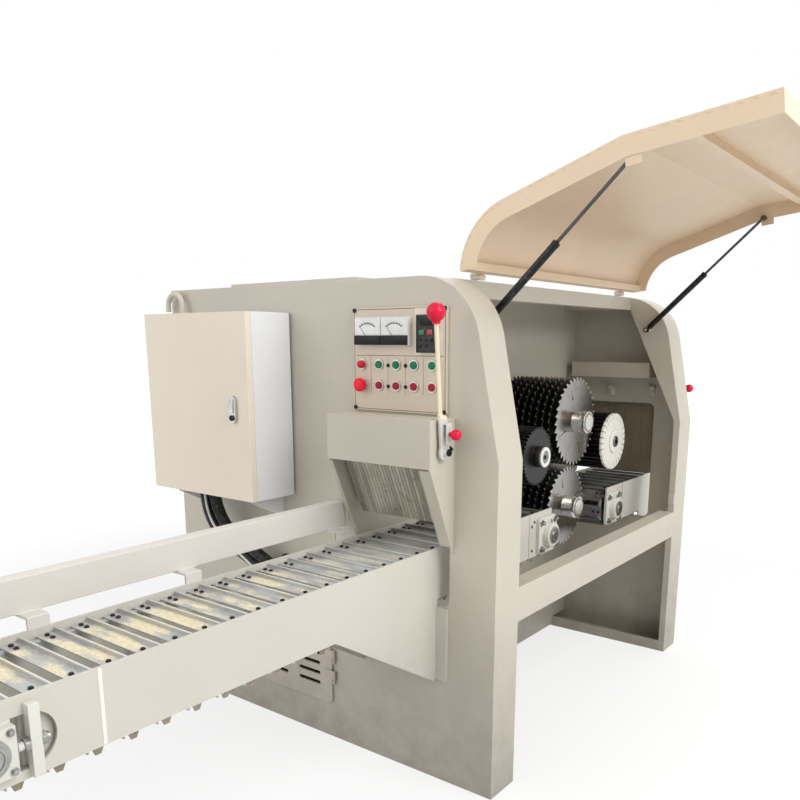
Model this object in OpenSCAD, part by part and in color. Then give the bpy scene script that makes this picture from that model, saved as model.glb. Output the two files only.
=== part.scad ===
// Multi rip saw: a floor machine with two saw arbors, slat-chain conveyors and a lift-up hood.
// Origin on the floor at the middle of the cabinet. +Y is the feed direction, +X the open side.

/* [Cabinet] */
// Width of the cabinet across the feed
cab_w = 1390; // [1380:5:1450]
// Length of the cabinet along the feed
cab_l = 1565; // [1545:5:1620]
// Height of the cabinet
cab_h = 1510; // [1500:5:1540]
// Depth of each end frame
end_t = 130; // [120:2:136]
// Sheet thickness of the end frames
skin = 6; // [5:0.5:7]
// Height where the open side starts to lean in
kink_z = 1005; // [990:5:1015]
// Lean of the upper open side, degrees
lean_a = 11.6; // [11:0.1:12]
// Radius of the rounded top edge
top_r = 200; // [190:2:205]
// Bulkhead behind the saws, distance from the open side
bulk_in = 545; // [540:1:560]
// Face of the hinge beam, distance from the open side
beam_in = 242; // [240:1:246]
// Side of the square hinge beam
beam_s = 50; // [46:1:54]
// Underside of the lower rail
rail_z = 521; // [505:1:530]
// Height of the lower rail
rail_h = 106; // [98:1:110]
// Foundation hole radius
anchor_r = 9; // [7:0.5:11]

/* [Work line] */
// Height of the conveyor slat tips above the floor
deck_z = 737; // [733:1:741]
// Near conveyor plate, distance from the open side
plate_in = 201; // [199:1:203]
// Width of a conveyor over its side plates
lane_w = 294; // [292:1:298]
// Conveyor plate thickness
plate_t = 6; // [5:0.5:7]
// Radius from shaft to slat tip
tip_r = 82; // [80:0.5:83]
// Outer radius of the chain strand round a shaft
chain_r = 68; // [66:0.5:69]
// Pitch wanted between slats
slat_pitch = 76; // [74:1:90]
// Infeed drive shaft, distance before the middle of the cabinet
head_f = 114.5; // [108.5:1:122.5]
// Infeed tail shaft, distance out from the front wall
tail_out = 1300; // [1280:5:1340]
// Outfeed inner shaft, distance past the middle of the cabinet
out_head_f = 462.5; // [457.5:1:469.5]
// Outfeed outer shaft, distance past the rear wall
out_tail_out = 380; // [360:5:420]
// Conveyor shaft radius
shaft_r = 17.5; // [16:0.5:19]

/* [Saws] */
// Upper blade diameter
upper_d = 335; // [325:1:338]
// Lower blade diameter
lower_d = 300; // [290:1:304]
// Height at which upper and lower blades meet
meet_z = 863; // [861:0.5:866]
// Blades on each arbor
blade_n = 10; // [6:1:10]
// Spacing of the blades
blade_pitch = 28; // [26:0.5:28.4]
// Nearest blade, distance from the open side
blade_in = 244; // [242:0.5:248]
// Blade plate thickness
blade_t = 3; // [2.4:0.2:3.6]
// Upper arbor, distance past the middle of the cabinet
upper_f = 182.5; // [177.5:1:187.5]
// Lower arbor, distance past the middle of the cabinet
lower_f = 127.5; // [123.5:1:131.5]
// Arbor radius under the blades
arbor_r = 30; // [28:0.5:32]
// Infeed press roller diameter
in_roll_d = 210; // [200:1:216]
// Outfeed press roller diameter
out_roll_d = 230; // [220:1:236]
// Height of the press roller axes
roll_z = 931; // [926:1:936]

/* [Hood] */
// Opening angle of the hood as it stands
hood_a = 97; // [90:1:98]
// Hood sheet thickness
hood_t = 3; // [2:0.5:4]
// Depth of the hood's turned-in edges
hood_lip = 52; // [48:1:54]
// Gap between hood and end frames
hood_gap = 8; // [7:0.5:10]
// Lower edge of the closed hood above the lower rail
hood_clear = 13; // [10:1:16]

/* [Front wall] */
// Width of the electrical box
box_w = 506; // [480:2:520]
// Height of the electrical box
box_h = 586; // [570:2:600]
// Depth of the electrical box without its door
box_d = 160; // [140:2:170]
// Depth of the box door
door_t = 22; // [18:1:26]
// Width of the control panel
panel_w = 340; // [336:2:350]
// Height of the control panel
panel_h = 297; // [292:1:302]
// Spacing of the push buttons
button_pitch = 64; // [60:0.5:65]
// Push button radius
button_r = 11; // [9:0.5:12]
// Depth of the infeed hood
guard_d = 118; // [112:1:124]
// Number of kickback fingers
finger_n = 25; // [20:1:25]

/* [Hidden] */
$fn = 64;
eps = 1;
// Radial running clearance of a shaft in its hole
run = 0.05;
// Working gap between moving faces
gap = 0.5;

hw = cab_w / 2;
function sx(d) = hw - d;
function fy(f) = f - cab_l / 2;

arc_c = [hw - (top_r + (cab_h - top_r - kink_z) * sin(lean_a)) / cos(lean_a), cab_h - top_r];
rail_top = rail_z + rail_h;
shaft_z = deck_z - tip_r;
plate_top = deck_z + 5;
plate_bot = shaft_z - 70;
near_x = sx(plate_in);
far_x = near_x - lane_w;
chain_in_r = chain_r - 14.5;
sprocket_r = chain_in_r - 2;
strand_w = 14;
strand_off = 9;
slat_gap = 4;
tail_f = -tail_out;
out_tail_f = cab_l + out_tail_out;

bulk_t = 8;
bulk_back = bulk_in + bulk_t;
blade_gap = 2;
upper_z = meet_z + upper_d / 2 + blade_gap / 2;
lower_z = meet_z - lower_d / 2 - blade_gap / 2;
arbor_end = blade_in - 60;
last_blade = blade_in + (blade_n - 1) * blade_pitch;
journal_r = arbor_r + 10;
// Places along the feed, from the front wall, kept clear of the blades
chain_clear = 8;
roll_clear = 10;
function beside(r, rise) = sqrt(max(0, r * r - rise * rise));
upper_at = cab_l / 2 + upper_f;
lower_at = cab_l / 2 + lower_f;
chain_reach = beside(lower_d / 2 + tip_r + chain_clear, lower_z - shaft_z);
head_at = min(cab_l / 2 - head_f, lower_at - chain_reach);
out_head_at = max(cab_l / 2 + out_head_f, lower_at + chain_reach);
in_roll_at = min(head_at, upper_at - beside((upper_d + in_roll_d) / 2 + roll_clear, upper_z - roll_z));
out_roll_at = max(out_head_at, upper_at + beside((upper_d + out_roll_d) / 2 + roll_clear, upper_z - roll_z));
// Reach of a roller arm, which fits in before the rear wall
arm_clear = 20;
arm_dz = 100;
arm_t = 30;
arm_gap = 7;
roll_shaft_r = 22;
stub_r = 25;
hub_r = 45;
arm_dy = min(210, cab_l - skin - hub_r - arm_clear - out_roll_at);

mouth_in = plate_in - 44;
mouth_w = lane_w + 64;
mouth_z0 = plate_bot - 20;
mouth_z1 = 1068;

hinge_x = sx(beam_in - 1);
hinge_z = cab_h + 11;
hinge_pin_r = 5;
knuckle_r = 9;
knuckle_l = 30;
hinge_f = [255, cab_l - 255];
hood_y0 = fy(end_t + hood_gap);
hood_y1 = fy(cab_l - end_t - hood_gap);
hood_edge_in = beam_in - 7;
hood_z0 = rail_top + hood_clear;

strut_low = [sx(155), cab_h - 132];
strut_high = [sx(49), kink_z - 15];
strut_r = 11;
strut_rod_r = 5;
strut_y = 30;
// Strut end on the hood, turned about the hinge with it
function open_at(p) = [hinge_x, hinge_z]
    + [cos(hood_a) * (p.x - hinge_x) - sin(hood_a) * (p.y - hinge_z),
       sin(hood_a) * (p.x - hinge_x) + cos(hood_a) * (p.y - hinge_z)];
strut_open = open_at(strut_high);
strut_v = strut_open - strut_low;
strut_len = norm(strut_v);
strut_a = atan2(strut_v.y, strut_v.x);
strut_cyl = 0.53 * strut_len;

panel_x0 = sx(509);
panel_z0 = 1131;
panel_t = 8;
column_x = [for (i = [0:4]) panel_x0 + 36 + i * button_pitch];
row_z = [panel_z0 + 135, panel_z0 + 75];
stop_r = 20;

box_x0 = sx(1287);
box_z0 = 835;
box_back = 7;
box_wall = 3;
door_hinge_x = box_x0 - 7;
box_front = fy(-box_back - box_d);

guard_x0 = sx(521);
guard_x1 = sx(145);
guard_t = 6;
guard_z1 = 1125;
guard_z0 = 993;
guard_foot = 727;
pivot_y = fy(-68);
pivot_z = 1037;
finger_shaft_r = 10;
lever_x = guard_x1 + 12;
knob_r = 25;

vent_x0 = sx(990);
vent_x1 = sx(625);
vent_z0 = 125;
vent_z1 = 330;

fence_x = sx(530);
fence_z = deck_z + 31;
fence_h = 80;
fence_w = 40;

upper_plane = [870, 930];
lower_plane = [790, 850];
arbor_pulley_r = 80;
motor_pulley_r = 95;
motor_r = 140;
motor_z = 260;
motor_f = [cab_l / 2 - 302.5, cab_l / 2 + 397.5];
motor_rail_z = 100;
motor_shaft_r = 24;
belt_t = 8;

paint = "#b8b0a0";
pale = "#dedccf";
steel = "#9a9c9d";
dark = "#2b2b2d";
red = "#e02850";

// Shared shapes

module block(x, y, z) {
    translate([x[0], y[0], z[0]]) cube([x[1] - x[0], y[1] - y[0], z[1] - z[0]]);
}

module along_x(x) {
    translate([x[0], 0, 0]) rotate([90, 0, 90]) linear_extrude(x[1] - x[0]) children();
}

module along_y(y) {
    translate([0, y[1], 0]) rotate([90, 0, 0]) linear_extrude(y[1] - y[0]) children();
}

module rod_x(x, y, z, r) {
    translate([x[0], y, z]) rotate([0, 90, 0]) cylinder(r = r, h = x[1] - x[0]);
}

module rod_y(x, y, z, r) {
    translate([x, y[0], z]) rotate([-90, 0, 0]) cylinder(r = r, h = y[1] - y[0]);
}

module rod_z(x, y, z, r) {
    translate([x, y, z[0]]) cylinder(r = r, h = z[1] - z[0]);
}

module ring_x(x, y, z, r, bore) {
    difference() {
        rod_x(x, y, z, r);
        rod_x([x[0] - eps, x[1] + eps], y, z, bore);
    }
}

module rounded(a, b, r) {
    translate([a[0] + r, b[0]]) square([a[1] - a[0] - 2 * r, b[1] - b[0]]);
    translate([a[0], b[0] + r]) square([a[1] - a[0], b[1] - b[0] - 2 * r]);
    for (u = [a[0] + r, a[1] - r], v = [b[0] + r, b[1] - r]) translate([u, v]) circle(r = r);
}

// Outline of a band round two circles: many-sided arcs joined by straight tangent runs
module loop_outline(p, q, rp, rq, n = 20) {
    v = q - p;
    t = atan2(v.y, v.x);
    k = acos((rp - rq) / norm(v));
    polygon(concat(
        [for (i = [0:n]) let (a = t + k + (360 - 2 * k) * i / n) p + rp * [cos(a), sin(a)]],
        [for (i = [0:n]) let (a = t - k + 2 * k * i / n) q + rq * [cos(a), sin(a)]]));
}

// Level band round two equal circles: half rings joined by straight runs
module level_band(y, z, r, bore) {
    for (s = [0, 1]) translate([y[s], z]) difference() {
        circle(r = r);
        circle(r = bore);
        translate([s == 0 ? 0 : -2 * r, -2 * r]) square([2 * r, 4 * r]);
    }
    for (v = [z + bore, z - r]) translate([y[0], v]) square([y[1] - y[0], r - bore]);
}

// Bent tube through hand-set points, smoothed between them
function spline(p, i, t) = let (a = p[max(i - 1, 0)], b = p[i], c = p[i + 1],
    d = p[min(i + 2, len(p) - 1)])
    0.5 * (2 * b + (c - a) * t + (2 * a - 5 * b + 4 * c - d) * t * t
    + (3 * b - a - 3 * c + d) * t * t * t);
function unit(v) = v / norm(v);

module tube(p, r, sides = 14, steps = 5) {
    path = concat([for (i = [0:len(p) - 2], k = [0:steps - 1]) spline(p, i, k / steps)],
        [p[len(p) - 1]]);
    n = len(path);
    rings = [for (i = [0:n - 1]) let (t = unit(path[min(i + 1, n - 1)] - path[max(i - 1, 0)]),
        u = unit(cross(t, [0.3, 0.9, 0.2])), w = cross(t, u))
        for (k = [0:sides - 1]) path[i] + r * (cos(360 * k / sides) * u + sin(360 * k / sides) * w)];
    sides_faces = [for (i = [0:n - 2], k = [0:sides - 1]) let (j = (k + 1) % sides)
        [i * sides + k, (i + 1) * sides + k, (i + 1) * sides + j, i * sides + j]];
    ends = [[for (k = [0:sides - 1]) k], [for (k = [sides - 1:-1:0]) (n - 1) * sides + k]];
    polyhedron(rings, concat(sides_faces, ends), convexity = 6);
}

// Cabinet

module side_profile(d) {
    polygon([[-hw + d, d], [hw - d, d], [hw - d, kink_z - d * tan(lean_a / 2)],
        arc_c + (top_r - d) * [cos(lean_a), sin(lean_a)], arc_c, [arc_c.x, cab_h - d],
        [-hw + d, cab_h - d]]);
    translate(arc_c) circle(r = top_r - d);
}

// Opening in the inner flange of an end frame
flange_side = 25;
flange_foot = 45;
flange_top = cab_h - beam_s + 2;
module flange_window() {
    polygon([[-hw + flange_foot, flange_foot], [hw - flange_side, flange_foot],
        [hw - flange_side, kink_z + 5], [sx(beam_in), flange_top], [-hw + flange_foot, flange_top]]);
}

anchor_x = cab_w - 200;
module end_tray() {
    difference() {
        along_y([fy(0), fy(end_t)]) side_profile(0);
        along_y([fy(skin), fy(end_t - skin)]) side_profile(skin);
        along_y([fy(end_t - skin - eps), fy(end_t + eps)]) flange_window();
        along_y([fy(-eps), fy(skin + eps)])
            rounded([sx(mouth_in + mouth_w), sx(mouth_in)], [mouth_z0, mouth_z1], 25);
        for (s = [-1, 1])
            rod_z(s * anchor_x / 2, fy(end_t / 2), [-eps, skin + eps], anchor_r);
    }
    // Stud that carries the foot of a gas strut
    rod_y(strut_low.x, [fy(end_t), fy(end_t + strut_y - strut_r - gap)], strut_low.y, 9);
    rod_y(strut_low.x, [fy(end_t), fy(end_t + strut_y + strut_r)], strut_low.y, strut_rod_r);
}

hook_r = 40;
hook_x = box_x0 - 11 - hook_r;
hook_z = 1455;
hook_out = 24;
module lifting_hook() {
    translate([hook_x, fy(-hook_out), hook_z]) {
        rotate([90, 0, 0]) rotate_extrude(angle = 180) translate([hook_r, 0]) circle(r = 9);
        translate([-hook_r, 0, -20]) cylinder(r = 9, h = 20);
        translate([hook_r, 0, -45]) cylinder(r = 9, h = 45);
    }
    rod_y(hook_x + hook_r, [fy(-hook_out), fy(0)], hook_z - 36, 7);
}

// Pins on the wall that the vent cover turns on
vent_hinge = vent_x1 + 6;
vent_knuckles = [vent_z0 + 92, vent_z1 - 40];
module vent_pins() {
    for (z = vent_knuckles) {
        block([vent_hinge - 4, vent_hinge + 4], [fy(-8), fy(0)], [z - 16, z - 1]);
        rod_z(vent_hinge, fy(-8), [z - 16, z - 1], 5);
        rod_z(vent_hinge, fy(-8), [z - 1, z + 28], 3);
    }
}

module front_end_frame() {
    color(paint) {
        difference() {
            end_tray();
            along_y([fy(-eps), fy(skin + eps)])
                rounded([panel_x0 + 12, panel_x0 + panel_w - 12],
                    [row_z[1] - 40, row_z[0] + 40], 10);
            along_y([fy(-eps), fy(skin + eps)])
                rounded([vent_x0 + 20, vent_x1 - 20], [vent_z0 + 15, vent_z1 - 15], 10);
        }
        lifting_hook();
        vent_pins();
    }
}

module rear_end_frame() {
    color(paint) {
        mirror([0, 1, 0]) end_tray();
        // Chip guard above the outfeed mouth, and the catch for the closed hood
        block([sx(511), sx(155)], [fy(cab_l - 98), fy(cab_l - skin)], [1180, 1243]);
        block([sx(flange_side - 1), sx(2)], [fy(cab_l - end_t - 5), fy(cab_l - end_t)], [660, 700]);
    }
}

// Swept slot for a roller shaft, and the stub that carries its arm
module roller_slot(f, s) {
    along_x([sx(bulk_back + eps), sx(bulk_in - eps)])
        rounded([fy(f - 38 - (s > 0 ? 40 : 0)), fy(f + 38 + (s > 0 ? 0 : 40))],
            [roll_z - 36, roll_z + 100], 30);
}

module saw_bulkhead() {
    color(paint) {
        difference() {
            union() {
                block([sx(bulk_back), sx(bulk_in)], [fy(end_t), fy(cab_l - end_t)],
                    [skin, cab_h - skin]);
                block([sx(bulk_back), sx(bulk_in)], [fy(skin), fy(cab_l - skin)],
                    [flange_foot, flange_top]);
            }
            for (p = [[upper_at, upper_z], [lower_at, lower_z]])
                rod_x([sx(bulk_back + eps), sx(bulk_in - eps)], fy(p.x), p.y, journal_r + 5);
            for (f = [head_at, out_head_at])
                rod_x([sx(bulk_back + eps), sx(bulk_in - eps)], fy(f), shaft_z, shaft_r + 6);
            roller_slot(in_roll_at, 1);
            roller_slot(out_roll_at, -1);
        }
        for (s = [-1, 1]) {
            f = s < 0 ? in_roll_at - arm_dy : out_roll_at + arm_dy;
            rod_x([sx(bulk_back + arm_gap + arm_t + 6), sx(bulk_back)], fy(f), roll_z - arm_dz,
                stub_r);
        }
    }
}

module side_cover() {
    color(paint) block([-hw, -hw + 4], [fy(end_t), fy(cab_l - end_t)], [skin, cab_h - skin]);
}

module roof_panel() {
    color(paint) {
        block([-hw, sx(beam_in + beam_s)], [fy(end_t), fy(cab_l - end_t)], [cab_h - skin, cab_h]);
        block([sx(1060), sx(500)], [fy(0), fy(cab_l)], [cab_h, cab_h + 8]);
    }
}

module hinge_beam() {
    color(paint) {
        difference() {
            block([sx(beam_in + beam_s), sx(beam_in)], [fy(end_t), fy(cab_l - end_t)],
                [cab_h - beam_s, cab_h]);
            block([sx(beam_in + beam_s - 4), sx(beam_in + 4)],
                [fy(end_t - eps), fy(cab_l - end_t + eps)], [cab_h - beam_s + 4, cab_h - 4]);
        }
        for (f = hinge_f) {
            y = fy(f);
            block([hinge_x - knuckle_r + 2, hinge_x], [y - knuckle_l, y], [cab_h, hinge_z]);
            rod_y(hinge_x, [y - knuckle_l, y], hinge_z, knuckle_r);
            rod_y(hinge_x, [y, y + knuckle_l + 4], hinge_z, hinge_pin_r);
        }
    }
}

module frame_rails() {
    color(paint) {
        difference() {
            block([sx(60), sx(0)], [fy(end_t), fy(cab_l - end_t)], [rail_z, rail_top]);
            block([sx(56), sx(4)], [fy(end_t - eps), fy(cab_l - end_t + eps)],
                [rail_z + 4, rail_top - 4]);
        }
        for (d = [1040, 1290])
            block([sx(d + 60), sx(d)], [fy(end_t), fy(cab_l - end_t)], [skin, motor_rail_z]);
    }
}

// Infeed and outfeed hoods

module guard_shell() {
    difference() {
        along_x([guard_x0, guard_x1])
            polygon([[fy(0), guard_foot], [fy(0), guard_z1], [fy(-guard_d), guard_z1],
                [fy(-guard_d), guard_z0]]);
        along_x([guard_x0 + guard_t, guard_x1 - guard_t])
            polygon([[fy(eps), guard_foot - 50], [fy(eps), guard_z1 - guard_t],
                [fy(guard_t - guard_d), guard_z1 - guard_t], [fy(guard_t - guard_d), guard_z0 - eps],
                [fy(-guard_d - eps), guard_z0 - eps], [fy(-guard_d - eps), guard_foot - 50]]);
    }
}

// Turned-in flanges along the sloping edges of the cheeks
guard_slope = atan2(guard_z0 - guard_foot, guard_d);
guard_edge = norm([guard_z0 - guard_foot, guard_d]);
guard_heel = 30;
module guard_flange(x, w) {
    translate([x, fy(0), guard_foot]) rotate([-guard_slope, 0, 0]) translate([0, 8 - guard_edge, 1])
        cube([w, guard_edge - 8 - guard_heel, 4]);
}

module infeed_hood() {
    color(paint) {
        difference() {
            guard_shell();
            rod_x([guard_x0 - eps, guard_x1 + eps], pivot_y, pivot_z, finger_shaft_r + run);
        }
        guard_flange(guard_x0 + guard_t - 2, 10);
        guard_flange(guard_x1 - guard_t - 34, 36);
    }
}

// Height of the plunger on the lug above the outfeed hood
rear_plunger_z = guard_z1 + 9;
module outfeed_hood() {
    color(paint) mirror([0, 1, 0]) {
        guard_shell();
        difference() {
            block([guard_x1 - guard_t, guard_x1], [pivot_y - 22, pivot_y + 22],
                [guard_z1, guard_z1 + 34]);
            rod_x([guard_x0 - eps, guard_x1 + eps], pivot_y, rear_plunger_z, plunger_r + run);
        }
    }
}

curtain_n = 9;
curtain_t = 4;
module outfeed_curtain() {
    w = (guard_x1 - guard_x0 - 2 * guard_t - 4) / curtain_n;
    y = fy(cab_l + 44);
    color("#3a3a38") for (i = [0:curtain_n - 1])
        translate([guard_x0 + guard_t + 2 + i * w + 0.5, y, deck_z + 20])
            cube([w - 1, curtain_t, guard_z1 - guard_t - deck_z - 20]);
}

// Control panel

meter_w = 100;
meter_h = 80;
meter_x = panel_x0 + 17;
meter_z = panel_z0 + 190;
key_x = panel_x0 + 244;
module panel_plate() {
    color(pale) difference() {
        along_y([fy(-panel_t), fy(0)])
            rounded([panel_x0, panel_x0 + panel_w], [panel_z0, panel_z0 + panel_h], 6);
        for (i = [1:4], z = row_z)
            rod_y(column_x[i], [fy(-panel_t - eps), fy(eps)], z, button_r + 3);
        for (z = row_z) rod_y(column_x[0], [fy(-panel_t - eps), fy(eps)], z, button_r + 3);
    }
}

module panel_instruments() {
    color("#f0efe8") {
        for (i = [0:1])
            along_y([fy(-panel_t - 15), fy(-panel_t)])
                rounded([meter_x + i * meter_w + 1, meter_x + (i + 1) * meter_w - 1],
                    [meter_z, meter_z + meter_h], 4);
        along_y([fy(-panel_t - 12), fy(-panel_t)])
            rounded([key_x, key_x + 68], [meter_z - 20, meter_z + meter_h + 4], 5);
    }
}

// A bezel is a flanged sleeve closed at the back
sleeve_back = 26;
module button_bezels() {
    color(pale) for (z = row_z, i = [0:4]) translate([column_x[i], fy(-panel_t), z])
        rotate([-90, 0, 0]) difference() {
            union() {
                translate([0, 0, -4]) cylinder(r = button_r + 5, h = 4);
                cylinder(r = button_r + 3, h = panel_t + sleeve_back);
            }
            translate([0, 0, -4 - eps])
                cylinder(r = button_r + run, h = panel_t + sleeve_back + eps);
        }
    // Power lamp in the first place of the upper row
    color(red) rod_y(column_x[0], [fy(-panel_t - 13), fy(sleeve_back - 4)], row_z[0], button_r);
}

travel = 4;
module button(i, z, tone) {
    color(tone) rod_y(column_x[i], [fy(-panel_t - 9), fy(sleeve_back - 4 - travel - 2)], z, button_r);
}

module stop_button() {
    color(red) {
        rod_y(column_x[0], [fy(-panel_t - 22), fy(-panel_t - 11)], row_z[1], stop_r);
        rod_y(column_x[0], [fy(-panel_t - 11), fy(sleeve_back - 4 - travel - 4)], row_z[1], button_r);
    }
}

// Electrical box

module electrical_box() {
    color(pale) {
        difference() {
            block([box_x0, box_x0 + box_w], [box_front, fy(-box_back)], [box_z0, box_z0 + box_h]);
            block([box_x0 + box_wall, box_x0 + box_w - box_wall], [box_front - eps, fy(-box_back - box_wall)],
                [box_z0 + box_wall, box_z0 + box_h - box_wall]);
        }
        for (z = [box_z0 + 40, box_z0 + box_h - 60])
            block([box_x0 + 20, box_x0 + box_w - 20], [fy(-box_back), fy(0)], [z, z + 30]);
        for (d = [60, box_w - 66])
            along_x([box_x0 + d, box_x0 + d + 6])
                polygon([[fy(0), box_z0], [fy(-140), box_z0], [fy(-140), box_z0 - 18],
                    [fy(0), box_z0 - 87]]);
        // Hinge pins on the left edge
        for (z = [box_z0 + 60, box_z0 + box_h - 100]) {
            rod_z(door_hinge_x, box_front + 6, [z, z + 20], 5);
            block([door_hinge_x, box_x0], [box_front + 3, box_front + 9], [z, z + 20]);
            rod_z(door_hinge_x, box_front + 6, [z + 20, z + 44], 3);
        }
    }
}

module box_door() {
    y = box_front - gap;
    color("#d8cdbc") {
        difference() {
            block([box_x0, box_x0 + box_w], [y - door_t, y], [box_z0, box_z0 + box_h]);
            block([box_x0 + 2, box_x0 + box_w - 2], [y - door_t + 2, y + eps],
                [box_z0 + 2, box_z0 + box_h - 2]);
            rod_y(latch_x, [y - door_t - eps, y - door_t + 2 + eps], latch_z, 9 + run);
        }
        for (z = [box_z0 + 60, box_z0 + box_h - 100]) difference() {
            union() {
                rod_z(door_hinge_x, box_front + 6, [z + 20 + gap, z + 44], 5);
                block([door_hinge_x - 3, door_hinge_x + 2], [y - 6, box_front + 6],
                    [z + 20 + gap, z + 44]);
                block([door_hinge_x - 3, box_x0], [y - 8, y - 4], [z + 20 + gap, z + 44]);
            }
            rod_z(door_hinge_x, box_front + 6, [z + 10, z + 50], 3 + run);
        }
    }
}

latch_x = sx(850);
latch_z = 1124;
module door_latch() {
    y = box_front - gap - door_t;
    color("#c9c9c6") {
        along_y([y - 9, y - 1])
            rounded([latch_x - 16, latch_x + 16], [latch_z - 42, latch_z + 42], 15.9);
        rod_y(latch_x, [y - 2, y + 12], latch_z, 9);
        block([latch_x - 9, latch_x + 44], [y + 12, y + 15], [latch_z - 9, latch_z + 9]);
    }
}

module switchgear() {
    back = fy(-box_back - box_wall);
    x0 = box_x0 + 40;
    w = box_w - 80;
    color("#c4c7c4") block([x0, x0 + w], [back - 14, back], [box_z0 + 40, box_z0 + box_h - 40]);
    color(dark) for (r = [0:2], c = [0:4])
        block([x0 + 24 + c * 76, x0 + 82 + c * 76], [back - 84 + 12 * r, back - 14],
            [box_z0 + 80 + r * 160, box_z0 + 170 + r * 160]);
}

// Cable conduits from the box to elbows on the wall, and a thin cable in front of them
conduit_r = 20;
conduit_y = -97;
conduit_bend = 170;
conduit_turn = 62;
conduit_run = 180;
elbow_y = -62;
elbow_d = [1130, 1082];
elbow_dz = [0, 22];
// Point at a share t of the wide bend, and the way that the straight run leaves it
function bend_at(x, z, t) = [x + conduit_bend * (1 - cos(t * conduit_turn)),
    z - conduit_bend * sin(t * conduit_turn)];
run_way = [sin(conduit_turn), -cos(conduit_turn)];
function elbow_at(k) = bend_at(sx(elbow_d[k]), 800 + elbow_dz[k], 1) + conduit_run * run_way;

module conduit(k) {
    x = sx(elbow_d[k]);
    z = 800 + elbow_dz[k];
    e = elbow_at(k);
    p = concat([for (h = [box_z0, (box_z0 + z) / 2]) [x, fy(conduit_y), h]],
        [for (i = [0:4]) let (q = bend_at(x, z, i / 4)) [q.x, fy(conduit_y + 3 * i), q.y]],
        [for (i = [1:3]) let (q = bend_at(x, z, 1) + i / 3 * conduit_run * run_way)
            [q.x, fy(conduit_y + 12 + (elbow_y - conduit_y - 12) * i / 3), q.y]]);
    color(dark) {
        tube(p, conduit_r);
        rod_y(e.x, [fy(elbow_y - 28), fy(0)], e.y, conduit_r + 4);
    }
}

cable_r = 4;
cable_y = -130;
cable_bend = 35;
module thin_cable() {
    x = sx(elbow_d[1]) - 12;
    z = 800 + elbow_dz[1];
    e = elbow_at(1) - [12, 0];
    p = concat([for (h = [box_z0, (box_z0 + z) / 2]) [x, fy(cable_y), h]],
        [for (i = [0:4]) let (q = bend_at(x, z, i / 4)) [q.x, fy(cable_y), q.y]],
        [for (i = [1:2]) let (q = bend_at(x, z, 1) + i / 3 * conduit_run * run_way) [q.x, fy(cable_y), q.y]],
        [for (i = [0:3]) let (q = e - cable_bend * (1 - sin(30 * i)) * run_way)
            [q.x, fy(cable_y + cable_bend * (1 - cos(30 * i))), q.y]],
        [[e.x, fy(elbow_y - 26), e.y]]);
    color("#cfcfc9") tube(p, cable_r, 8, 3);
}

module conduits() {
    conduit(0);
    conduit(1);
    thin_cable();
}

// Fence

module fence() {
    color("#e6e3d8") {
        difference() {
            block([fence_x - fence_w, fence_x], [fy(tail_f - 110), fy(-35)],
                [fence_z, fence_z + fence_h]);
            block([fence_x - fence_w + 3, fence_x - 3], [fy(tail_f - 120), fy(-30)],
                [fence_z + 3, fence_z + fence_h - 3]);
        }
        for (f = [-90, -640, tail_f + 260]) {
            block([far_x - 6, far_x], [fy(f - 25), fy(f + 25)], [plate_top - 60, fence_z]);
            block([fence_x - fence_w, far_x - 6], [fy(f - 25), fy(f + 25)], [fence_z - 6, fence_z]);
        }
    }
}

// Conveyors

take_r = 52;
take_end = tail_f + 129;
module plate_outline(f0, f1, wall_f, s, take) {
    difference() {
        union() {
            translate([fy(f0), plate_bot]) square([f1 - f0, plate_top - plate_bot]);
            polygon([[fy(wall_f), plate_bot + eps], [fy(wall_f), plate_bot - 264],
                [fy(wall_f - s * 444), plate_bot + eps]]);
        }
        if (take) {
            translate([fy(take_end - take_r), shaft_z]) circle(r = take_r);
            translate([fy(take_end - take_r - 150), shaft_z - take_r]) square([150, 2 * take_r]);
        }
    }
}

module conveyor_frame(f0, f1, wall_f, s, shafts, take) {
    for (x = [near_x - plate_t, far_x]) difference() {
        along_x([x, x + plate_t]) plate_outline(f0, f1, wall_f, s, take);
        for (f = shafts) rod_x([x - eps, x + plate_t + eps], fy(f), shaft_z, shaft_r + 4);
    }
    lo = min(concat(shafts, take ? [tail_f] : [])) + 70;
    hi = max(shafts) - 70;
    // Runners under the chain strands, on cross ties
    ties = floor((hi - lo) / 330);
    for (i = [0:ties])
        rod_x([far_x + plate_t, near_x - plate_t], fy(lo + 30 + (hi - lo - 60) * i / ties), shaft_z, 12);
    for (k = [0, 1]) difference() {
        block([strand_x(k) + 1, strand_x(k) + strand_w - 1], [fy(lo), fy(hi)],
            [shaft_z - chain_in_r + 2, shaft_z + chain_in_r - gap]);
        for (i = [0:ties])
            rod_x([strand_x(k), strand_x(k) + strand_w], fy(lo + 30 + (hi - lo - 60) * i / ties),
                shaft_z, 12);
    }
    // Wall angles that carry the plates below the mouth
    for (x = [near_x, far_x - 40])
        block([x, x + 40], [fy(wall_f) - (s > 0 ? 8 : 0), fy(wall_f) + (s > 0 ? 0 : 8)],
            [plate_bot - 250, mouth_z0 - 4]);
}

function strand_x(k) = k == 0 ? far_x + plate_t + strand_off
    : near_x - plate_t - strand_off - strand_w;

// Place and turn of a slat at distance s along the loop
function loop_at(s, a, b) = let (d = b - a, h = PI * chain_r)
    s < d ? [a + s, 0] : s < d + h ? [b, -180 * (s - d) / h]
    : s < 2 * d + h ? [b - (s - d - h), -180] : [a, -180 - 180 * (s - 2 * d - h) / h];

module slat_outline() {
    translate([-21, chain_r + gap]) square([42, 3]);
    translate([18, chain_r + gap]) square([3, tip_r - chain_r - gap]);
}

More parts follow.
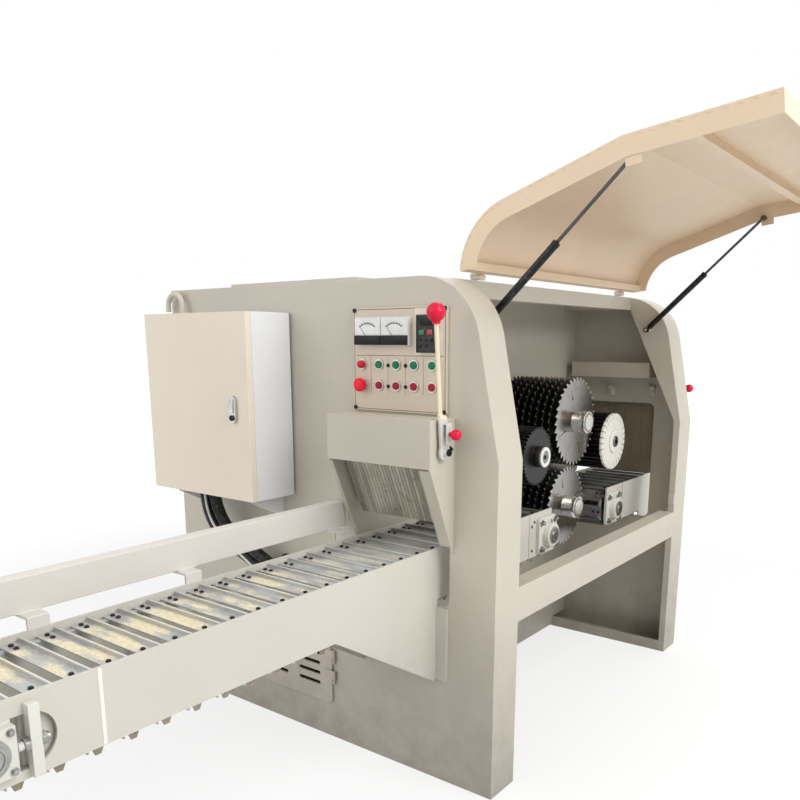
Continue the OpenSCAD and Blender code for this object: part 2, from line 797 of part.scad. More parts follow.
module slat_chain(a, b) {
    total = 2 * (b - a) + 2 * PI * chain_r;
    n = floor(total / slat_pitch);
    for (k = [0, 1]) along_x([strand_x(k), strand_x(k) + strand_w])
        level_band([fy(a), fy(b)], shaft_z, chain_r, chain_in_r);
    for (i = [0:n - 1]) {
        at = loop_at((i + 0.5) * total / n, a, b);
        along_x([far_x + plate_t + slat_gap, near_x - plate_t - slat_gap])
            translate([fy(at[0]), shaft_z]) rotate(at[1]) slat_outline();
    }
    // Bolts that hold each slat down on the strands
    for (i = [0:n - 1], k = [0, 1]) {
        at = loop_at((i + 0.5) * total / n, a, b);
        translate([strand_x(k) + strand_w / 2, fy(at[0]), shaft_z]) rotate([at[1], 0, 0])
            translate([0, 0, chain_r - 2]) cylinder(r = 3, h = gap + 2);
    }
}

head_past = 46;
infeed_end = tail_f - 120;
module infeed_frame() {
    color(pale) conveyor_frame(infeed_end, head_at + head_past, 0, 1, [head_at], true);
}

module outfeed_frame() {
    color(pale) conveyor_frame(out_head_at - head_past, out_tail_f + 80, cab_l, -1,
        [out_head_at, out_tail_f], false);
}

module infeed_slat_chain() {
    color("#b4b1a8") slat_chain(tail_f, head_at);
}

module outfeed_slat_chain() {
    color("#b4b1a8") slat_chain(out_head_at, out_tail_f);
}

// Four-bolt flange with a round hub
flange_s = 66;
hub_l = 36;
module flange_bearing(f, x, s) {
    difference() {
        union() {
            along_x(s > 0 ? [x, x + 13] : [x - 13, x])
                rounded([fy(f) - flange_s, fy(f) + flange_s], [shaft_z - flange_s, shaft_z + flange_s], 20);
            rod_x(s > 0 ? [x, x + hub_l] : [x - hub_l, x], fy(f), shaft_z, 43);
        }
        rod_x([x - 50, x + 50], fy(f), shaft_z, shaft_r + run);
    }
}

module take_up(x, s) {
    y = fy(tail_f);
    strap = fy(tail_f + 82);
    xs = s > 0 ? x + 10 : x - 10;
    difference() {
        union() {
            along_x([min(x - s * plate_t, x), max(x - s * plate_t, x)])
                translate([y - 50, shaft_z - take_r]) square([100, 2 * take_r]);
            along_x([min(x, x + s * 18), max(x, x + s * 18)])
                translate([y - 50, shaft_z - 46]) square([100, 92]);
        }
        rod_x([x - 40, x + 40], y, shaft_z, shaft_r + run);
    }
    difference() {
        block([min(x, x + s * 20), max(x, x + s * 20)], [strap - 10, strap + 10],
            [plate_bot + 6, plate_top - 14]);
        rod_y(xs, [strap - 20, strap + 20], shaft_z, 8);
    }
    rod_y(xs, [y + 50, strap + 26], shaft_z, 8);
}

module conveyor_bearings() {
    color("#e2e2dc") {
        for (f = [head_at, out_head_at, out_tail_f]) {
            flange_bearing(f, near_x, 1);
            flange_bearing(f, far_x, -1);
        }
        take_up(near_x, 1);
        take_up(far_x, -1);
    }
}

module conveyor_shaft(f, x) {
    color(steel) {
        rod_x(x, fy(f), shaft_z, shaft_r);
        for (k = [0, 1]) ring_x([strand_x(k) + 1, strand_x(k) + strand_w - 1], fy(f), shaft_z,
            sprocket_r, shaft_r);
    }
}

shaft_near = near_x + hub_l + 8;
gear_w = 160;
module infeed_head_shaft() {
    conveyor_shaft(head_at, [sx(bulk_back + gear_w - 20), shaft_near]);
}

module infeed_tail_shaft() {
    conveyor_shaft(tail_f, [far_x - 24, near_x + 24]);
}

module outfeed_head_shaft() {
    conveyor_shaft(out_head_at, [sx(bulk_back + gear_w - 20), shaft_near]);
}

module outfeed_tail_shaft() {
    conveyor_shaft(out_tail_f, [far_x - hub_l - 8, shaft_near]);
}

// Saw arbors

flange_r = 110;
flange_t = 16;
module housing(f, z, plane) {
    a = sx(plane[0] - 14);
    b = sx(bulk_back);
    difference() {
        union() {
            rod_x([b - flange_t, b], fy(f), z, flange_r);
            rod_x([a, b - flange_t], fy(f), z, 75);
        }
        rod_x([a - eps, b + eps], fy(f), z, journal_r + run);
    }
}

module arbor_housings() {
    color(steel) {
        housing(upper_at, upper_z, upper_plane);
        housing(lower_at, lower_z, lower_plane);
    }
}

// Flat-belt pulley with side rims, bored for its shaft
module pulley(f, z, plane, r, bore) {
    a = sx(plane[1]);
    b = sx(plane[0]);
    ring_x([a, b], fy(f), z, r, bore);
    for (x = [a, b - 5]) ring_x([x, x + 5], fy(f), z, r + belt_t, r);
}

module arbor(f, z, plane) {
    spacer = blade_pitch - blade_t;
    color(steel) {
        rod_x([sx(last_blade + blade_t / 2 + 22), sx(arbor_end)], fy(f), z, arbor_r);
        rod_x([sx(plane[0] - 8), sx(last_blade + blade_t / 2 + 22)], fy(f), z, journal_r);
        rod_x([sx(plane[1]), sx(plane[0] - 8)], fy(f), z, arbor_r);
        ring_x([sx(last_blade + blade_t / 2 + 22), sx(last_blade + blade_t / 2)], fy(f), z,
            journal_r, arbor_r);
        for (i = [0:1:blade_n - 2]) {
            d = blade_in + i * blade_pitch + blade_t / 2;
            ring_x([sx(d + spacer), sx(d)], fy(f), z, journal_r - 4, arbor_r);
        }
        ring_x([sx(blade_in - blade_t / 2), sx(arbor_end + 26)], fy(f), z, journal_r, arbor_r);
        ring_x([sx(arbor_end + 26), sx(arbor_end + 4)], fy(f), z, journal_r + 2, arbor_r);
        pulley(f, z, plane, arbor_pulley_r, arbor_r);
    }
}

tooth_n = 36;
module blade_outline(d) {
    r = d / 2;
    step = 360 / tooth_n;
    polygon([for (i = [0:tooth_n - 1], k = [[0, r], [0.04, r - 11], [0.38, r - 13], [0.68, r - 4]])
        k[1] * [cos((i + k[0]) * step), sin((i + k[0]) * step)]]);
}

// Expansion slot with a round inner end
module blade_slot(r) {
    translate([0.56 * r, -1.5]) square([0.22 * r, 3]);
    translate([0.56 * r, 0]) circle(r = 4.5);
}

slot_n = 4;
module blades(f, z, d) {
    color("#6f7173") for (i = [0:blade_n - 1])
        along_x([sx(blade_in + i * blade_pitch + blade_t / 2), sx(blade_in + i * blade_pitch - blade_t / 2)])
            translate([fy(f), z]) rotate(i * 7) difference() {
                blade_outline(d);
                circle(r = arbor_r);
                for (k = [0:slot_n - 1]) rotate(20 + k * 360 / slot_n) blade_slot(d / 2);
            }
}

module upper_arbor() {
    arbor(upper_at, upper_z, upper_plane);
}

module upper_blades() {
    blades(upper_at, upper_z, upper_d);
}

module lower_arbor() {
    arbor(lower_at, lower_z, lower_plane);
}

module lower_blades() {
    blades(lower_at, lower_z, lower_d);
}

// Press rollers on swing arms

// An arm carries the fixed axle that its roller turns on
module roller_arm(f, s, axle) {
    p = [fy(f) - s * arm_dy, roll_z - arm_dz];
    q = [fy(f), roll_z];
    a = sx(bulk_back + arm_gap + arm_t);
    color(steel) difference() {
        along_x([a, a + arm_t]) {
            translate(p) circle(r = hub_r);
            translate(q) circle(r = hub_r);
            translate(p) rotate(atan2(q.y - p.y, q.x - p.x))
                translate([0, -hub_r + 8]) square([norm(q - p), 2 * hub_r - 16]);
        }
        rod_x([a - eps, a + arm_t + eps], p.x, p.y, stub_r + run);
    }
    color(steel) rod_x([a - 8, axle], q.x, q.y, roll_shaft_r);
}

module infeed_arm() {
    roller_arm(in_roll_at, 1, sx(plate_in + 10));
}

module outfeed_arm() {
    roller_arm(out_roll_at, -1, sx(plate_in - 10));
}

module toothed_disc(x, f, r, teeth, depth, bore) {
    step = 360 / teeth;
    along_x(x) translate([fy(f), roll_z]) difference() {
        polygon([for (i = [0:teeth - 1], k = [[0, r], [0.3, r], [0.5, r - depth], [0.8, r - depth]])
            k[1] * [cos((i + k[0]) * step), sin((i + k[0]) * step)]]);
        circle(r = bore);
    }
}

roll_bore = roll_shaft_r + run;
module slotted_disc(x, f, r, slots) {
    along_x(x) translate([fy(f), roll_z]) difference() {
        circle(r = r);
        for (i = [0:slots - 1]) rotate(i * 360 / slots) translate([r - 24, -1.8]) square([30, 3.6]);
        circle(r = roll_bore);
    }
}

roll_far = bulk_in - 20;
module infeed_roller() {
    near = plate_in + 40;
    n = 9;
    w = (roll_far - near) / n;
    color("#4a4a4c") difference() {
        union() {
            rod_x([sx(roll_far), sx(near)], fy(in_roll_at), roll_z, in_roll_d / 2 - 16);
            for (i = [0:n - 1])
                toothed_disc([sx(near + i * w + w - 9), sx(near + i * w)], in_roll_at, in_roll_d / 2, 40, 8,
                    roll_shaft_r - 8);
            rod_x([sx(near + 4), sx(plate_in + 14)], fy(in_roll_at), roll_z, 38);
        }
        rod_x([sx(roll_far + 1), sx(plate_in)], fy(in_roll_at), roll_z, roll_bore);
    }
}

module outfeed_roller() {
    near = plate_in + 14;
    color("#5a5a5a") {
        toothed_disc([sx(roll_far), sx(near)], out_roll_at, out_roll_d / 2, 36, 9, roll_bore);
    }
    color(pale) slotted_disc([sx(near), sx(plate_in + 2)], out_roll_at, out_roll_d / 2 - 1, 28);
}

// Drives inside the cabinet

motor_plane = [upper_plane, lower_plane];
module saw_motor(i) {
    y = fy(motor_f[i]);
    front = sx(motor_plane[i][1] + 20);
    back = -hw + 16;
    difference() {
        union() {
            rod_x([back, front - 10], y, motor_z, motor_r);
            rod_x([front - 10, front], y, motor_z, 90);
            block([sx(1350), sx(1040)], [y - 120, y + 120], [motor_rail_z, motor_rail_z + 40]);
            block([sx(1230), sx(1100)], [y - 60, y + 60], [motor_z + motor_r - 20, motor_z + motor_r + 60]);
        }
        rod_x([front - 80, front + eps], y, motor_z, motor_shaft_r + run);
    }
}

module gearmotor(f) {
    b = sx(bulk_back);
    difference() {
        union() {
            block([b - gear_w, b], [fy(f) - 75, fy(f) + 75], [shaft_z - 90, shaft_z + 90]);
            rod_z(b - gear_w / 2, fy(f), [shaft_z - 360, shaft_z - 90], 66);
        }
        rod_x([b - gear_w + 10, b + eps], fy(f), shaft_z, shaft_r + run);
    }
}

module drive_motors() {
    color("#5d6a72") {
        saw_motor(0);
        saw_motor(1);
        gearmotor(head_at);
        gearmotor(out_head_at);
    }
}

module motor_pulley(i) {
    color(steel) {
        rod_x([sx(motor_plane[i][1] + 90), sx(motor_plane[i][0])], fy(motor_f[i]), motor_z,
            motor_shaft_r);
        pulley(motor_f[i], motor_z, motor_plane[i], motor_pulley_r, motor_shaft_r);
    }
}

module upper_motor_pulley() {
    motor_pulley(0);
}

module lower_motor_pulley() {
    motor_pulley(1);
}

module belt(i, f, z) {
    p = [fy(f), z];
    q = [fy(motor_f[i]), motor_z];
    along_x([sx(motor_plane[i][1] - 7), sx(motor_plane[i][0] + 7)]) difference() {
        loop_outline(p, q, arbor_pulley_r + belt_t - 1, motor_pulley_r + belt_t - 1);
        loop_outline(p, q, arbor_pulley_r + gap, motor_pulley_r + gap);
    }
}

module drive_belts() {
    color(dark) {
        belt(0, upper_at, upper_z);
        belt(1, lower_at, lower_z);
    }
}

// Hood and its gas struts

module hood_region() {
    translate([sx(hood_edge_in), hood_z0]) square([hood_edge_in + 10, cab_h - hood_z0 + 10]);
}

module hood_band(d) {
    intersection() {
        difference() {
            side_profile(0);
            side_profile(d);
        }
        hood_region();
    }
}

// Height of the outer face where the hood starts
hood_top = arc_c.y + sqrt(pow(top_r, 2) - pow(sx(hood_edge_in) - arc_c.x, 2));
module hood_closed() {
    along_y([hood_y0, hood_y1]) hood_band(hood_t);
    for (y = [hood_y0, hood_y1 - hood_t]) along_y([y, y + hood_t]) hood_band(hood_lip);
    block([hw - hood_lip, hw], [hood_y0, hood_y1], [hood_z0, hood_z0 + hood_t]);
    // Bar along the hinge edge, and a stiffening rib
    block([sx(hood_edge_in), sx(hood_edge_in - 24)], [hood_y0, hood_y1], [hood_top - 30, hood_top - 6]);
    block([hw - 26, hw - hood_t], [hood_y0, hood_y1], [kink_z - 158, kink_z - 130]);
    for (f = hinge_f) {
        y0 = fy(f) + gap;
        y1 = y0 + knuckle_l - gap;
        difference() {
            union() {
                rod_y(hinge_x, [y0, y1], hinge_z, knuckle_r);
                block([hinge_x, hinge_x + 28], [y0, y1], [hinge_z - 5, hinge_z + 5]);
                block([hinge_x + 18, hinge_x + 28], [y0, y1], [hood_top - 26, hinge_z + 5]);
            }
            rod_y(hinge_x, [y0 - 10, y1 + 10], hinge_z, hinge_pin_r + run);
        }
    }
    // Plates behind the strut ends
    for (y = [hood_y0 + hood_t, hood_y1 - hood_t - 3])
        block([hw - hood_lip - 22, hw - hood_t], [y, y + 3], [strut_high.y - 30, strut_high.y + 12]);
}

module hood() {
    color("#d4bea5") translate([hinge_x, 0, hinge_z]) rotate([0, -hood_a, 0])
        translate([-hinge_x, 0, -hinge_z]) hood_closed();
}

// A strut lies along its line from the lower pivot, in a plane inside the hood edge
module on_strut(y) {
    translate([strut_low.x, y, strut_low.y]) rotate([0, 90 - strut_a, 0]) children();
}

module strut_cylinder(y) {
    color("#1d1d1f") on_strut(y) difference() {
        union() {
            translate([0, 0, 14]) cylinder(r = strut_r, h = strut_cyl - 14);
            rotate([90, 0, 0]) translate([0, 0, -strut_r + gap]) cylinder(r = 10, h = 2 * (strut_r - gap));
            translate([0, 0, 4]) cylinder(r = 6, h = 12);
        }
        rotate([90, 0, 0]) translate([0, 0, -30]) cylinder(r = strut_rod_r + run, h = 60);
        translate([0, 0, 60]) cylinder(r = strut_rod_r + run, h = strut_cyl);
    }
}

module strut_rod(y, s) {
    color("#1d1d1f") on_strut(y) {
        translate([0, 0, strut_cyl - 50]) cylinder(r = strut_rod_r, h = strut_len - strut_cyl + 44);
        translate([0, 0, strut_len]) rotate([90, 0, 0]) translate([0, 0, -9]) cylinder(r = 9, h = 18);
        translate([0, 0, strut_len]) rotate([90, 0, 0]) translate([0, 0, s > 0 ? 0 : -14])
            cylinder(r = 5, h = 14);
    }
}

strut_front = fy(end_t + strut_y);
strut_rear = fy(cab_l - end_t - strut_y);
module front_strut_cylinder() {
    strut_cylinder(strut_front);
}

module front_strut_rod() {
    strut_rod(strut_front, 1);
}

module rear_strut_cylinder() {
    strut_cylinder(strut_rear);
}

module rear_strut_rod() {
    strut_rod(strut_rear, -1);
}

// Kickback fingers, lever and plungers

finger_l = 240;
finger_w = 30;
module kickback_fingers() {
    x0 = guard_x0 + guard_t + 10;
    pitch = (guard_x1 - guard_x0 - 2 * guard_t - 46) / finger_n;
    color(steel) for (i = [0:finger_n - 1])
        along_x([x0 + i * pitch + 0.5, x0 + (i + 1) * pitch - 0.5])
            translate([pivot_y, pivot_z]) rotate(-guard_slope) difference() {
                union() {
                    circle(r = finger_w / 2 + 2);
                    translate([0, -finger_w / 2]) square([finger_l - 20, finger_w]);
                    polygon([[finger_l - 21, -finger_w / 2], [finger_l, -finger_w / 2],
                        [finger_l - 21, finger_w / 2]]);
                }
                circle(r = finger_shaft_r + run);
            }
}

lever_top = [fy(-100), 1407];
lever_bar = 85;
module release_lever() {
    v = lever_top - [pivot_y, pivot_z];
    a = atan2(-v.x, v.y);
    color(pale) {
        rod_x([guard_x0 - 8, lever_x + 14], pivot_y, pivot_z, finger_shaft_r);
        difference() {
            along_x([lever_x - 4, lever_x + 4]) translate([pivot_y, pivot_z]) {
                rotate(a) translate([-17, 0]) square([34, lever_bar]);
                circle(r = 22);
                rotate(a) translate([0, lever_bar]) circle(r = 17);
            }
            rod_x([lever_x - 10, lever_x + 10], pivot_y, pivot_z, finger_shaft_r);
            rod_x([lever_x - 10, lever_x + 10], pivot_y, plunger_z, plunger_r + run);
        }
        translate([lever_x, pivot_y, pivot_z]) rotate([a, 0, 0]) {
            translate([-12, -8, lever_bar - 6]) cube([8, 16, 26]);
            translate([-8, 0, lever_bar + 20]) cylinder(r = 6, h = norm(v) - lever_bar - 40);
        }
    }
    color(red) translate([lever_x - 8, lever_top.x, lever_top.y]) sphere(r = knob_r);
}

plunger_r = 6;
plunger_z = pivot_z + 50;
module lock_plunger() {
    color(red) {
        rod_x([guard_x1 + 1, lever_x + 28], pivot_y, plunger_z, plunger_r);
        translate([lever_x + 38, pivot_y, plunger_z]) sphere(r = 15);
    }
}

module rear_plunger() {
    y = -pivot_y;
    color(red) {
        rod_x([guard_x1 - guard_t - 10, sx(50)], y, rear_plunger_z, plunger_r);
        translate([sx(38), y, rear_plunger_z]) sphere(r = 17);
    }
}

// Vent cover low on the front wall, hinged on its right edge

module vent_cover() {
    color(paint) {
        difference() {
            along_y([fy(-8), fy(-gap)]) rounded([vent_x0, vent_x1 - 4], [vent_z0, vent_z1], 20);
            for (c = [0, 1], r = [0:3])
                along_y([fy(-9), fy(eps)])
                    rounded([vent_x1 - 160 - c * 158, vent_x1 - 58 - c * 158],
                        [vent_z0 + 56 + r * 36, vent_z0 + 69 + r * 36], 6);
        }
        for (z = vent_knuckles) difference() {
            union() {
                rod_z(vent_hinge, fy(-8), [z, z + 30], 6);
                block([vent_x1 - 30, vent_hinge], [fy(-13), fy(-8)], [z, z + 30]);
            }
            rod_z(vent_hinge, fy(-8), [z - eps, z + 31], 3 + run);
        }
    }
}

front_end_frame();
rear_end_frame();
saw_bulkhead();
side_cover();
roof_panel();
hinge_beam();
frame_rails();
infeed_hood();
outfeed_hood();
outfeed_curtain();
panel_plate();
panel_instruments();
button_bezels();
electrical_box();
switchgear();
conduits();
fence();
infeed_frame();
infeed_slat_chain();
outfeed_frame();
outfeed_slat_chain();
conveyor_bearings();
arbor_housings();
drive_motors();
drive_belts();
hood();
front_strut_cylinder();
front_strut_rod();
rear_strut_cylinder();
rear_strut_rod();
box_door();
door_latch();
release_lever();
lock_plunger();
kickback_fingers();
rear_plunger();
button(1, row_z[0], "#2e8b57");  // green_button_1
button(2, row_z[0], "#2e8b57");  // green_button_2
button(3, row_z[0], "#2e8b57");  // green_button_3
button(4, row_z[0], "#2e8b57");  // green_button_4
button(1, row_z[1], red);  // red_button_1
button(2, row_z[1], red);  // red_button_2
button(3, row_z[1], red);  // red_button_3
button(4, row_z[1], red);  // red_button_4
stop_button();
upper_arbor();
upper_blades();
lower_arbor();
lower_blades();
infeed_arm();
infeed_roller();
outfeed_arm();
outfeed_roller();
upper_motor_pulley();
lower_motor_pulley();
infeed_head_shaft();
infeed_tail_shaft();
outfeed_head_shaft();
outfeed_tail_shaft();
vent_cover();
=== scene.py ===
# Multi rip saw, dressed piece by piece in the order in which the machine is put together.
# Sizes are in metres in the frame of the model: +Y along the feed, +X to the open side.

import math
import bpy
from mathutils import Matrix, Vector


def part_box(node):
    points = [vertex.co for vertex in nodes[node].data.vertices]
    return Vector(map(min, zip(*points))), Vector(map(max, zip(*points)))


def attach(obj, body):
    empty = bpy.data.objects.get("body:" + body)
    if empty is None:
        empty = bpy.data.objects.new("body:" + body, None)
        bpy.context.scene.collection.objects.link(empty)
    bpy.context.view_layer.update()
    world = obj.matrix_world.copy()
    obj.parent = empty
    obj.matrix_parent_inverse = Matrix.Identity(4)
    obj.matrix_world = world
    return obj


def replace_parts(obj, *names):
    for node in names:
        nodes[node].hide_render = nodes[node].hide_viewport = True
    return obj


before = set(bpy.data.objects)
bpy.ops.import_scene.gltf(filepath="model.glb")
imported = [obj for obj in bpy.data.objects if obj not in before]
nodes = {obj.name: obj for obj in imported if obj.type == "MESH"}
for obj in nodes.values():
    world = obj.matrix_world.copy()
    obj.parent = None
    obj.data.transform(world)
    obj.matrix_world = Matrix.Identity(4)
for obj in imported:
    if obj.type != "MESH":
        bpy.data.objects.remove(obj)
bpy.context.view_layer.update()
bpy.ops.object.select_all(action="DESELECT")


# Camera: it stands to the right of the infeed at a standing person's eye height,
# as the photograph was taken, with a normal lens shifted for the framing.
bpy.ops.object.camera_add(location=(1.7792, -2.5940, 1.3338),
                          rotation=(math.radians(77.712), 0, math.radians(37.431)))
camera = bpy.context.object
camera.data.sensor_width = 36
camera.data.lens = 35.31
camera.data.shift_x = -0.0125
camera.data.shift_y = 0.1397
bpy.context.scene.camera = camera


# Studio: a plain pale floor, a white world and three large soft lamps.
# The world and the floor show white to the camera and to shiny metal.
def srgb(red, green, blue):
    tones = [c / 255 for c in (red, green, blue)]
    return [c / 12.92 if c < 0.04045 else ((c + 0.055) / 1.055) ** 2.4 for c in tones] + [1]


def shader(tree, kind, inputs=None, **settings):
    made = tree.nodes.new("ShaderNode" + kind)
    for key, value in settings.items():
        setattr(made, key, value)
    for key, value in (inputs or {}).items():
        if isinstance(value, bpy.types.NodeSocket):
            tree.links.new(value, made.inputs[key])
        else:
            made.inputs[key].default_value = value
    return made


def new_material(name):
    made = bpy.data.materials.new(name)
    made.use_nodes = True
    return made, made.node_tree, made.node_tree.nodes["Principled BSDF"]


def seen_directly(tree):
    path = shader(tree, "LightPath")
    seen = path.outputs["Is Camera Ray"]
    for other in ("Is Glossy Ray", "Is Transmission Ray"):
        seen = shader(tree, "Math", {0: seen, 1: path.outputs[other]}, operation="MAXIMUM").outputs[0]
    return seen


bpy.context.scene.view_settings.view_transform = "Standard"
world = bpy.data.worlds.new("studio")
bpy.context.scene.world = world
world.use_nodes = True
sky = world.node_tree
ambient = 0.53
strength = shader(sky, "Mix", {0: seen_directly(sky), 2: ambient, 3: 1.0})
backdrop = sky.nodes["Background"]
backdrop.inputs["Color"].default_value = (1, 1, 1, 1)
sky.links.new(strength.outputs[0], backdrop.inputs["Strength"])

bpy.ops.mesh.primitive_plane_add(size=60, location=(0, 0, -0.0006))
floor = bpy.context.object
floor.name = "floor"
floor_paint, ground, base = new_material("pale_floor")
base.inputs["Roughness"].default_value = 1.0
base.inputs["Specular IOR Level"].default_value = 0.0
base.inputs["Emission Color"].default_value = (1, 1, 1, 1)
seen = seen_directly(ground)
tone = shader(ground, "Mix", {0: seen, 6: (0.80, 0.79, 0.77, 1), 7: (0.28, 0.28, 0.28, 1)}, data_type="RGBA")
ground.links.new(tone.outputs[2], base.inputs["Base Color"])
on_floor = shader(ground, "TexCoord").outputs["Object"]
away = shader(ground, "VectorMath", {0: on_floor}, operation="LENGTH").outputs["Value"]
glow = shader(ground, "MapRange", {"Value": away, "From Min": 2.5, "From Max": 6.0, "To Min": 0.70, "To Max": 1.0})
glow = shader(ground, "Math", {0: glow.outputs["Result"], 1: seen}, operation="MULTIPLY")
ground.links.new(glow.outputs[0], base.inputs["Emission Strength"])
floor.data.materials.append(floor_paint)

lit_point = Vector((0.1, -0.3, 0.8))
for spot, size, power in (((5.0, -0.9, 4.2), 4.0, 265), ((-2.2, -5.2, 3.6), 4.5, 110),
                          ((0.4, 3.4, 4.8), 4.0, 80)):
    bpy.ops.object.light_add(type="AREA", location=spot)
    lamp = bpy.context.object
    lamp.data.size = size
    lamp.data.energy = power
    lamp.rotation_euler = (lit_point - Vector(spot)).to_track_quat("-Z", "Y").to_euler()


# Cabinet: two folded sheet-metal end frames, bulkhead, side cover, roof, hinge beam and rails,
# welded together and sprayed with one greige enamel that has a slight orange peel.
def effect(name, ins, outs):
    group = bpy.data.node_groups.new(name, "ShaderNodeTree")
    for label, kind, value in ins:
        group.interface.new_socket(label, in_out="INPUT", socket_type="NodeSocket" + kind).default_value = value
    for label, kind in outs:
        group.interface.new_socket(label, in_out="OUTPUT", socket_type="NodeSocket" + kind)
    return group, group.nodes.new("NodeGroupInput").outputs, group.nodes.new("NodeGroupOutput").inputs


def noise(tree, scale, detail=3.0, rough=0.55, vector=None):
    if vector is None:
        vector = shader(tree, "TexCoord").outputs["Object"]
    return shader(tree, "TexNoise", {"Vector": vector, "Scale": scale, "Detail": detail,
                                     "Roughness": rough}).outputs["Fac"]


def ramp(tree, value, low, high, to_low=0.0, to_high=1.0):
    return shader(tree, "MapRange", {"Value": value, "From Min": low, "From Max": high,
                                     "To Min": to_low, "To Max": to_high}).outputs["Result"]


def facing_up(tree):
    return shader(tree, "SeparateXYZ", {0: shader(tree, "NewGeometry").outputs["Normal"]}).outputs["Z"]


def sums(tree, operation, a, b):
    return shader(tree, "Math", {0: a, 1: b}, operation=operation).outputs[0]


def scaled(tree, colour, tone):
    return shader(tree, "VectorMath", {0: colour, "Scale": tone}, operation="SCALE").outputs[0]


def blend_colour(tree, amount, a, b):
    return shader(tree, "Mix", {0: amount, 6: a, 7: b}, data_type="RGBA").outputs[2]


# Fine pale wood dust that settles on faces that look up
settled, given, out = effect("settled_dust", [("Amount", "Float", 0.2)], [("Mask", "Float")])
patch = ramp(settled, noise(settled, 9, 5, 0.62), 0.40, 0.66)
upward = sums(settled, "MULTIPLY", ramp(settled, facing_up(settled), 0.45, 0.9), patch)
settled.links.new(sums(settled, "MULTIPLY", upward, given["Amount"]), out["Mask"])

# Sprayed enamel: cloudy tone, fine peel, paler edges that are a painted highlight, dust, and painted shade darkening
# towards the foot
skin_outs = [("Colour", "Color"), ("Roughness", "Float"), ("Height", "Float")]
film, given, out = effect("enamel_film", [("Colour", "Color", (0.5, 0.5, 0.5, 1)), ("Cloud", "Float", 0.5),
                                          ("Dust", "Float", 0.15), ("Rub", "Float", 0.35)],
                          skin_outs)
cloud = ramp(film, noise(film, 2.2, 4, 0.6), 0.3, 0.7, -0.5, 0.5)
speckle = ramp(film, noise(film, 85, 3, 0.6), 0.35, 0.7, -0.12, 0.12)
tone = sums(film, "ADD", cloud, speckle)
tone = sums(film, "ADD", sums(film, "MULTIPLY", sums(film, "MULTIPLY", tone, given["Cloud"]), 0.16), 1.0)
cloudy = scaled(film, given["Colour"], tone)
# Paler edges: a painted highlight where light catches the edges, blended in patches towards pale cream
corner = shader(film, "Bevel", {"Radius": 0.004}, samples=4).outputs["Normal"]
turn = shader(film, "VectorMath", {0: corner, 1: shader(film, "NewGeometry").outputs["Normal"]},
              operation="DOT_PRODUCT").outputs["Value"]
edge = sums(film, "MULTIPLY", ramp(film, turn, 0.985, 0.82), ramp(film, noise(film, 30, 4, 0.7), 0.35, 0.6))
edge_highlighted = blend_colour(film, sums(film, "MULTIPLY", edge, given["Rub"]), cloudy, (0.80, 0.78, 0.73, 1))
height = shader(film, "SeparateXYZ", {0: shader(film, "TexCoord").outputs["Object"]}).outputs["Z"]
# Towards the floor the enamel is blended, in patches, into dark brown: painted shade for the shadow under the
# conveyors
foot_shade_patches = ramp(film, noise(film, 9, 5, 0.7), 0.3, 0.7, 0.45, 1.0)
foot = sums(film, "MULTIPLY", ramp(film, height, 0.60, 0.0, 0, 0.78), foot_shade_patches)
foot_shaded = blend_colour(film, foot, edge_highlighted, (0.21, 0.19, 0.16, 1))
mask = shader(film, "Group", {"Amount": given["Dust"]}, node_tree=settled).outputs["Mask"]
film.links.new(blend_colour(film, mask, foot_shaded, (0.72, 0.62, 0.44, 1)), out["Colour"])
sheen = ramp(film, noise(film, 24, 4), 0.3, 0.7, 0.34, 0.46)
film.links.new(sums(film, "ADD", sums(film, "MULTIPLY", mask, 0.3), sheen), out["Roughness"])
film.links.new(noise(film, 420, 2), out["Height"])


def enamel(name, colour, cloud=0.5, dust=0.12, edge_highlight=0.3, peel=0.08):
    made, tree, base = new_material(name)
    coat = shader(tree, "Group", {"Colour": colour, "Cloud": cloud, "Dust": dust, "Rub": edge_highlight}, node_tree=film)
    bump = shader(tree, "Bump", {"Height": coat.outputs["Height"], "Strength": peel, "Distance": 0.0008})
    tree.links.new(coat.outputs["Colour"], base.inputs["Base Color"])
    tree.links.new(coat.outputs["Roughness"], base.inputs["Roughness"])
    tree.links.new(bump.outputs["Normal"], base.inputs["Normal"])
    return made


def dress(name, material, edge_r=0.0, segments=2):
    node = nodes[name]
    node.data.materials.clear()
    node.data.materials.append(material)
    if edge_r:
        weld = node.modifiers.new("weld", "WELD")
        weld.merge_threshold = 0.00001
        round_edge = node.modifiers.new("edge", "BEVEL")
        round_edge.width = edge_r
        round_edge.segments = segments
        round_edge.limit_method = "ANGLE"
        round_edge.angle_limit = math.radians(40)
        round_edge.use_clamp_overlap = False
        round_edge.harden_normals = True


greige = enamel("greige_enamel", srgb(193, 187, 173))
for name in ("front_end_frame", "rear_end_frame", "saw_bulkhead", "side_cover", "roof_panel", "hinge_beam",
             "frame_rails"):
    dress(name, greige)


# Infeed and outfeed hoods: folded sheet guards in the cabinet's enamel.
# Each is screwed to its end wall over the mouth that the timber goes through.
for name in ("infeed_hood", "outfeed_hood"):
    dress(name, greige)


# Vent cover: a slotted plate in paler enamel, hung on pins low on the front wall.
# A dark sheet fills the window in the wall behind it: painted shade that shows black through the slots.
def only(piece):
    bpy.ops.object.select_all(action="DESELECT")
    piece.select_set(True)
    bpy.context.view_layer.objects.active = piece


def chamfer(piece, width, segments=2, angle=40):
    only(piece)
    mod = piece.modifiers.new("chamfer", "BEVEL")
    mod.width = width
    mod.segments = segments
    mod.limit_method = "ANGLE"
    mod.angle_limit = math.radians(angle)
    bpy.ops.object.modifier_apply(modifier="chamfer")


def slab(width, height, depth, edge_r=0.0, segments=2):
    bpy.ops.mesh.primitive_cube_add(size=1, location=(0, 0, depth / 2), scale=(width, height, depth))
    piece = bpy.context.object
    only(piece)
    bpy.ops.object.transform_apply(location=True, rotation=True, scale=True)
    if edge_r:
        chamfer(piece, edge_r, segments)
    return piece


